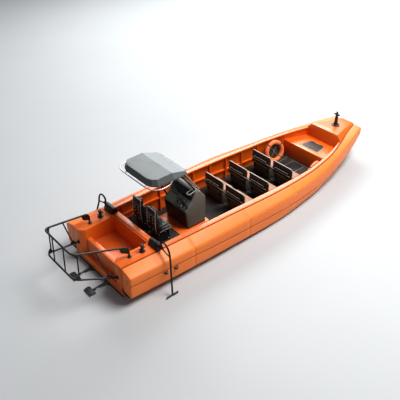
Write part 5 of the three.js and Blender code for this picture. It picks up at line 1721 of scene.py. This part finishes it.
# %% Build the helm seat frames
SEAT_FOOT = HELM_DECK + 0.0125
ARM_WIDTH = 0.045
SHELL_OUTLINE = rounded([(1.830, 0.970), (2.410, 0.970), (2.410, 1.020), (1.945, 1.020),
                         (1.872, SEAT_TOP - 0.01), (1.812, SEAT_TOP - 0.01), (1.790, 1.290)],
                        [0.02, 0.02, 0.012, 0.05, 0.02, 0.02, 0.06], 4)
PEDESTAL_OUTLINE = rounded([(1.870, SEAT_FOOT), (2.370, SEAT_FOOT), (2.370, SEAT_FOOT + 0.06), (2.250, 0.910),
                            (2.330, 0.975), (1.870, 0.975)], [0.01, 0.01, 0.02, 0.08, 0.02, 0.02], 4)
ARM_OUTLINE = rounded([(1.850, 1.050), (1.920, 1.050), (1.930, 1.232), (2.240, 1.232), (2.240, 1.274),
                       (1.850, 1.274)], [0.01, 0.01, 0.03, 0.02, 0.02, 0.03], 4)
# Each back panel: two places across, foot and top; the headrest's lies a little further forward.
BACK_PANELS = ((-0.16, 0.16, 1.68, 1.84, 1.798), (-0.17, -0.015, 1.34, 1.60, 1.786),
               (0.015, 0.17, 1.34, 1.60, 1.786), (-0.17, 0.17, 1.07, 1.28, 1.786))

for name, side in SIDES:
    middle = side * SEAT_Y
    seat = Shape(BLACK)
    seat.side_slab(SHELL_OUTLINE, middle - SEAT_HALF, middle + SEAT_HALF, 0.014, 3)
    seat.side_slab(PEDESTAL_OUTLINE, middle - SEAT_HALF + ARM_WIDTH, middle + SEAT_HALF - ARM_WIDTH, 0.016, 3)
    for edge in (-1, 1):
        near, far = sorted((middle + edge * SEAT_HALF, middle + edge * (SEAT_HALF + ARM_WIDTH)))
        seat.use(BLACK).side_slab(ARM_OUTLINE, near, far, 0.008, 2)
        seat.use(SEAT_VINYL).brick((1.925, near - 0.003, 1.262), (2.236, far + 0.003, 1.282), 0.007)
    seat.use(PALE_PIPING)
    for edge in (-1, 1):
        y = middle + edge * (SEAT_HALF - 0.012)
        seat.pipe([(1.812, y, SEAT_TOP - 0.012), (1.790, y, 1.640), (1.788, y, 1.300), (1.828, y, 1.020)],
                  0.009, 0.04, 10, 4)
        y = middle + edge * (SEAT_HALF + 0.0005)
        seat.pipe([(1.960, y, 1.015), (2.395, y, 1.015)], 0.005, 0, 8)
    for x, z, short, radius in ((1.815, SEAT_TOP - 0.008, 0.012, 0.009), (1.794, 1.655, 0.012, 0.009),
                                (2.398, 1.024, 0.020, 0.006)):
        reach = SEAT_HALF - short
        seat.pipe([(x, middle + y, z) for y in (-reach, reach)], radius, 0, 10)
    seat.use(BLACK)
    for y0, y1, z0, z1, x0 in BACK_PANELS:
        seat.slab([(x0 + 0.004, middle + y0, z0), (x0 + 0.004, middle + y1, z0),
                   (x0 + 0.008, middle + y1, z1), (x0 + 0.008, middle + y0, z1)], (-0.008, 0, 0), 0.003)
    bolted(seat, [((1.789, middle + y, z), (-1, 0, 0)) for y in (-0.09, 0.09)
                  for z in (1.38, 1.50, 1.57, 1.15)], 0.022, 0.009, WHITE_CAP)
    cheek = SEAT_HALF - ARM_WIDTH + 0.0005
    bolted(seat, [((x, middle + edge * cheek, z), (0, edge, 0)) for edge in (-1, 1)
                  for x, z in ((1.92, 0.62), (2.30, 0.60), (1.95, 0.90), (2.20, 0.90))],
           0.011, 0.007, WHITE_CAP)
    seat.piece("helm_seat_shell_" + name, "hull", "black_frame", ["helm_seat_frame_" + name])

# %% [markdown]
# ## Water jets and engines
# Two water jets hang on the transom, half under water. Each has a cast housing with ribs and ears, a
# nozzle that steers on upright pins and a bucket that drops over the nozzle to push the boat astern.
# The engines are closed in under the helm deck, so their plain CAD blocks only get a finish.

# %% Cast the jets
JET_Y, JET_Z = 0.430, -0.150
for name, side in SIDES:
    housing = dressed("jet_housing_" + name, JET_ALLOY, 0.004, 2, 35)
    centre = Vector((0, side * JET_Y, JET_Z))
    for x in (-0.120, -0.200, -0.280):
        housing.turned(centre + Vector((x + 0.005, 0, 0)), (-1, 0, 0),
                       ((0, 0.150), (0.001, 0.173), (0.012, 0.174), (0.013, 0.150)), 32)
    places = ring_of_bolts(centre + Vector((-0.0365, 0, 0)), (-1, 0, 0), 0.197, 10, 0.2)
    bolted(housing, places, 0.010, 0.008, ALLOY)
    housing.piece("jet_casting_" + name, "hull", "jet_metal", ["jet_housing_" + name])
    for node, body, casting in (("jet_nozzle_", "nozzle_", "jet_nozzle_casting_"),
                                ("reverse_bucket_", "bucket_", "bucket_casting_")):
        part = dressed(node + name, JET_ALLOY, 0.003, 2, 35)
        part.piece(casting + name, body + name, "jet_metal", [node + name])


def engine_paint():
    f = Finish("engine_paint", Metallic=0.2)
    oil = f.between(f.noise(5, 5), 0.45, 0.75)
    f.colour(f.mix(rgb(0.16, 0.18, 0.19), rgb(0.08, 0.085, 0.085), oil))
    f.rough(0.45 + oil * 0.2)
    f.relief(f.noise(120, 3), 0.0008, 0.4)
    return f.material


ENGINE_PAINT = engine_paint()
for name, _ in SIDES:
    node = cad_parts["engine_" + name]
    for slot in node.material_slots:
        slot.material = ENGINE_PAINT
print("engines painted")

# %% [markdown]
# ## Floor and light
# The boat floats, so the floor of the picture is the plane of the water, plain and pale. The photograph
# has an overcast sky: one large soft light overhead, a weaker one from the camera's side, and a long
# bright one ahead to port, which the level paintwork mirrors as a pale sheen.

# %% Lay the floor and hang the lights


def floor_finish():
    f = Finish("studio_floor", Specular_IOR_Level=0.2)
    f.colour(f.mix(rgb(0.50, 0.51, 0.52), rgb(0.47, 0.48, 0.49), f.noise(0.3, 2)))
    f.rough(0.8 + f.noise(2, 2) * 0.1)
    return f.material


floor = Shape(floor_finish())
floor.face([floor.mesh.verts.new(p) for p in ((-90, -90, 0), (110, -90, 0), (110, 90, 0), (-90, 90, 0))])
floor_data = floor.baked("studio_floor")
floor_data.materials.append(floor.finishes[0])
standing("studio_floor", floor_data)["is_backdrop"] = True

scene.view_settings.view_transform = "Standard"
scene.view_settings.look = "Medium High Contrast"
surround = bpy.data.worlds.new("overcast")
scene.world = surround
surround.use_nodes = True
sky = surround.node_tree.nodes["Background"].inputs
sky["Color"].default_value = rgb(0.86, 0.92, 1.0)
sky["Strength"].default_value = 0.17

for name, place, target, width, height, power, colour in (
        ("overcast_sky", (11, -7, 20.5), (6, 0, 0), 13, 13, 5800, (1.0, 0.99, 0.97)),
        ("low_fill", (-6, -26, 5), (5, 0, 0.5), 9, 9, 250, (1.0, 0.96, 0.92)),
        ("bright_horizon", (25, 17.5, 17), (19, 0, 1), 30, 9, 9000, (0.97, 0.99, 1.0)),
):
    lamp = bpy.data.lights.new(name, "AREA")
    lamp.shape = "ELLIPSE"
    lamp.size, lamp.size_y = width, height
    lamp.energy = power
    lamp.color = colour
    way = Vector(target) - Vector(place)
    facing = way.to_track_quat("-Z", "Y").to_matrix().to_4x4()
    standing(name, lamp).matrix_world = Matrix.Translation(place) @ facing

# %% Print the visual model's box beside the CAD's, and finish
seen_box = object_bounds()


for label, (low, high) in (("CAD", cad_box), ("visual", seen_box)):
    print(label, [round(v, 3) for v in low], [round(v, 3) for v in high])
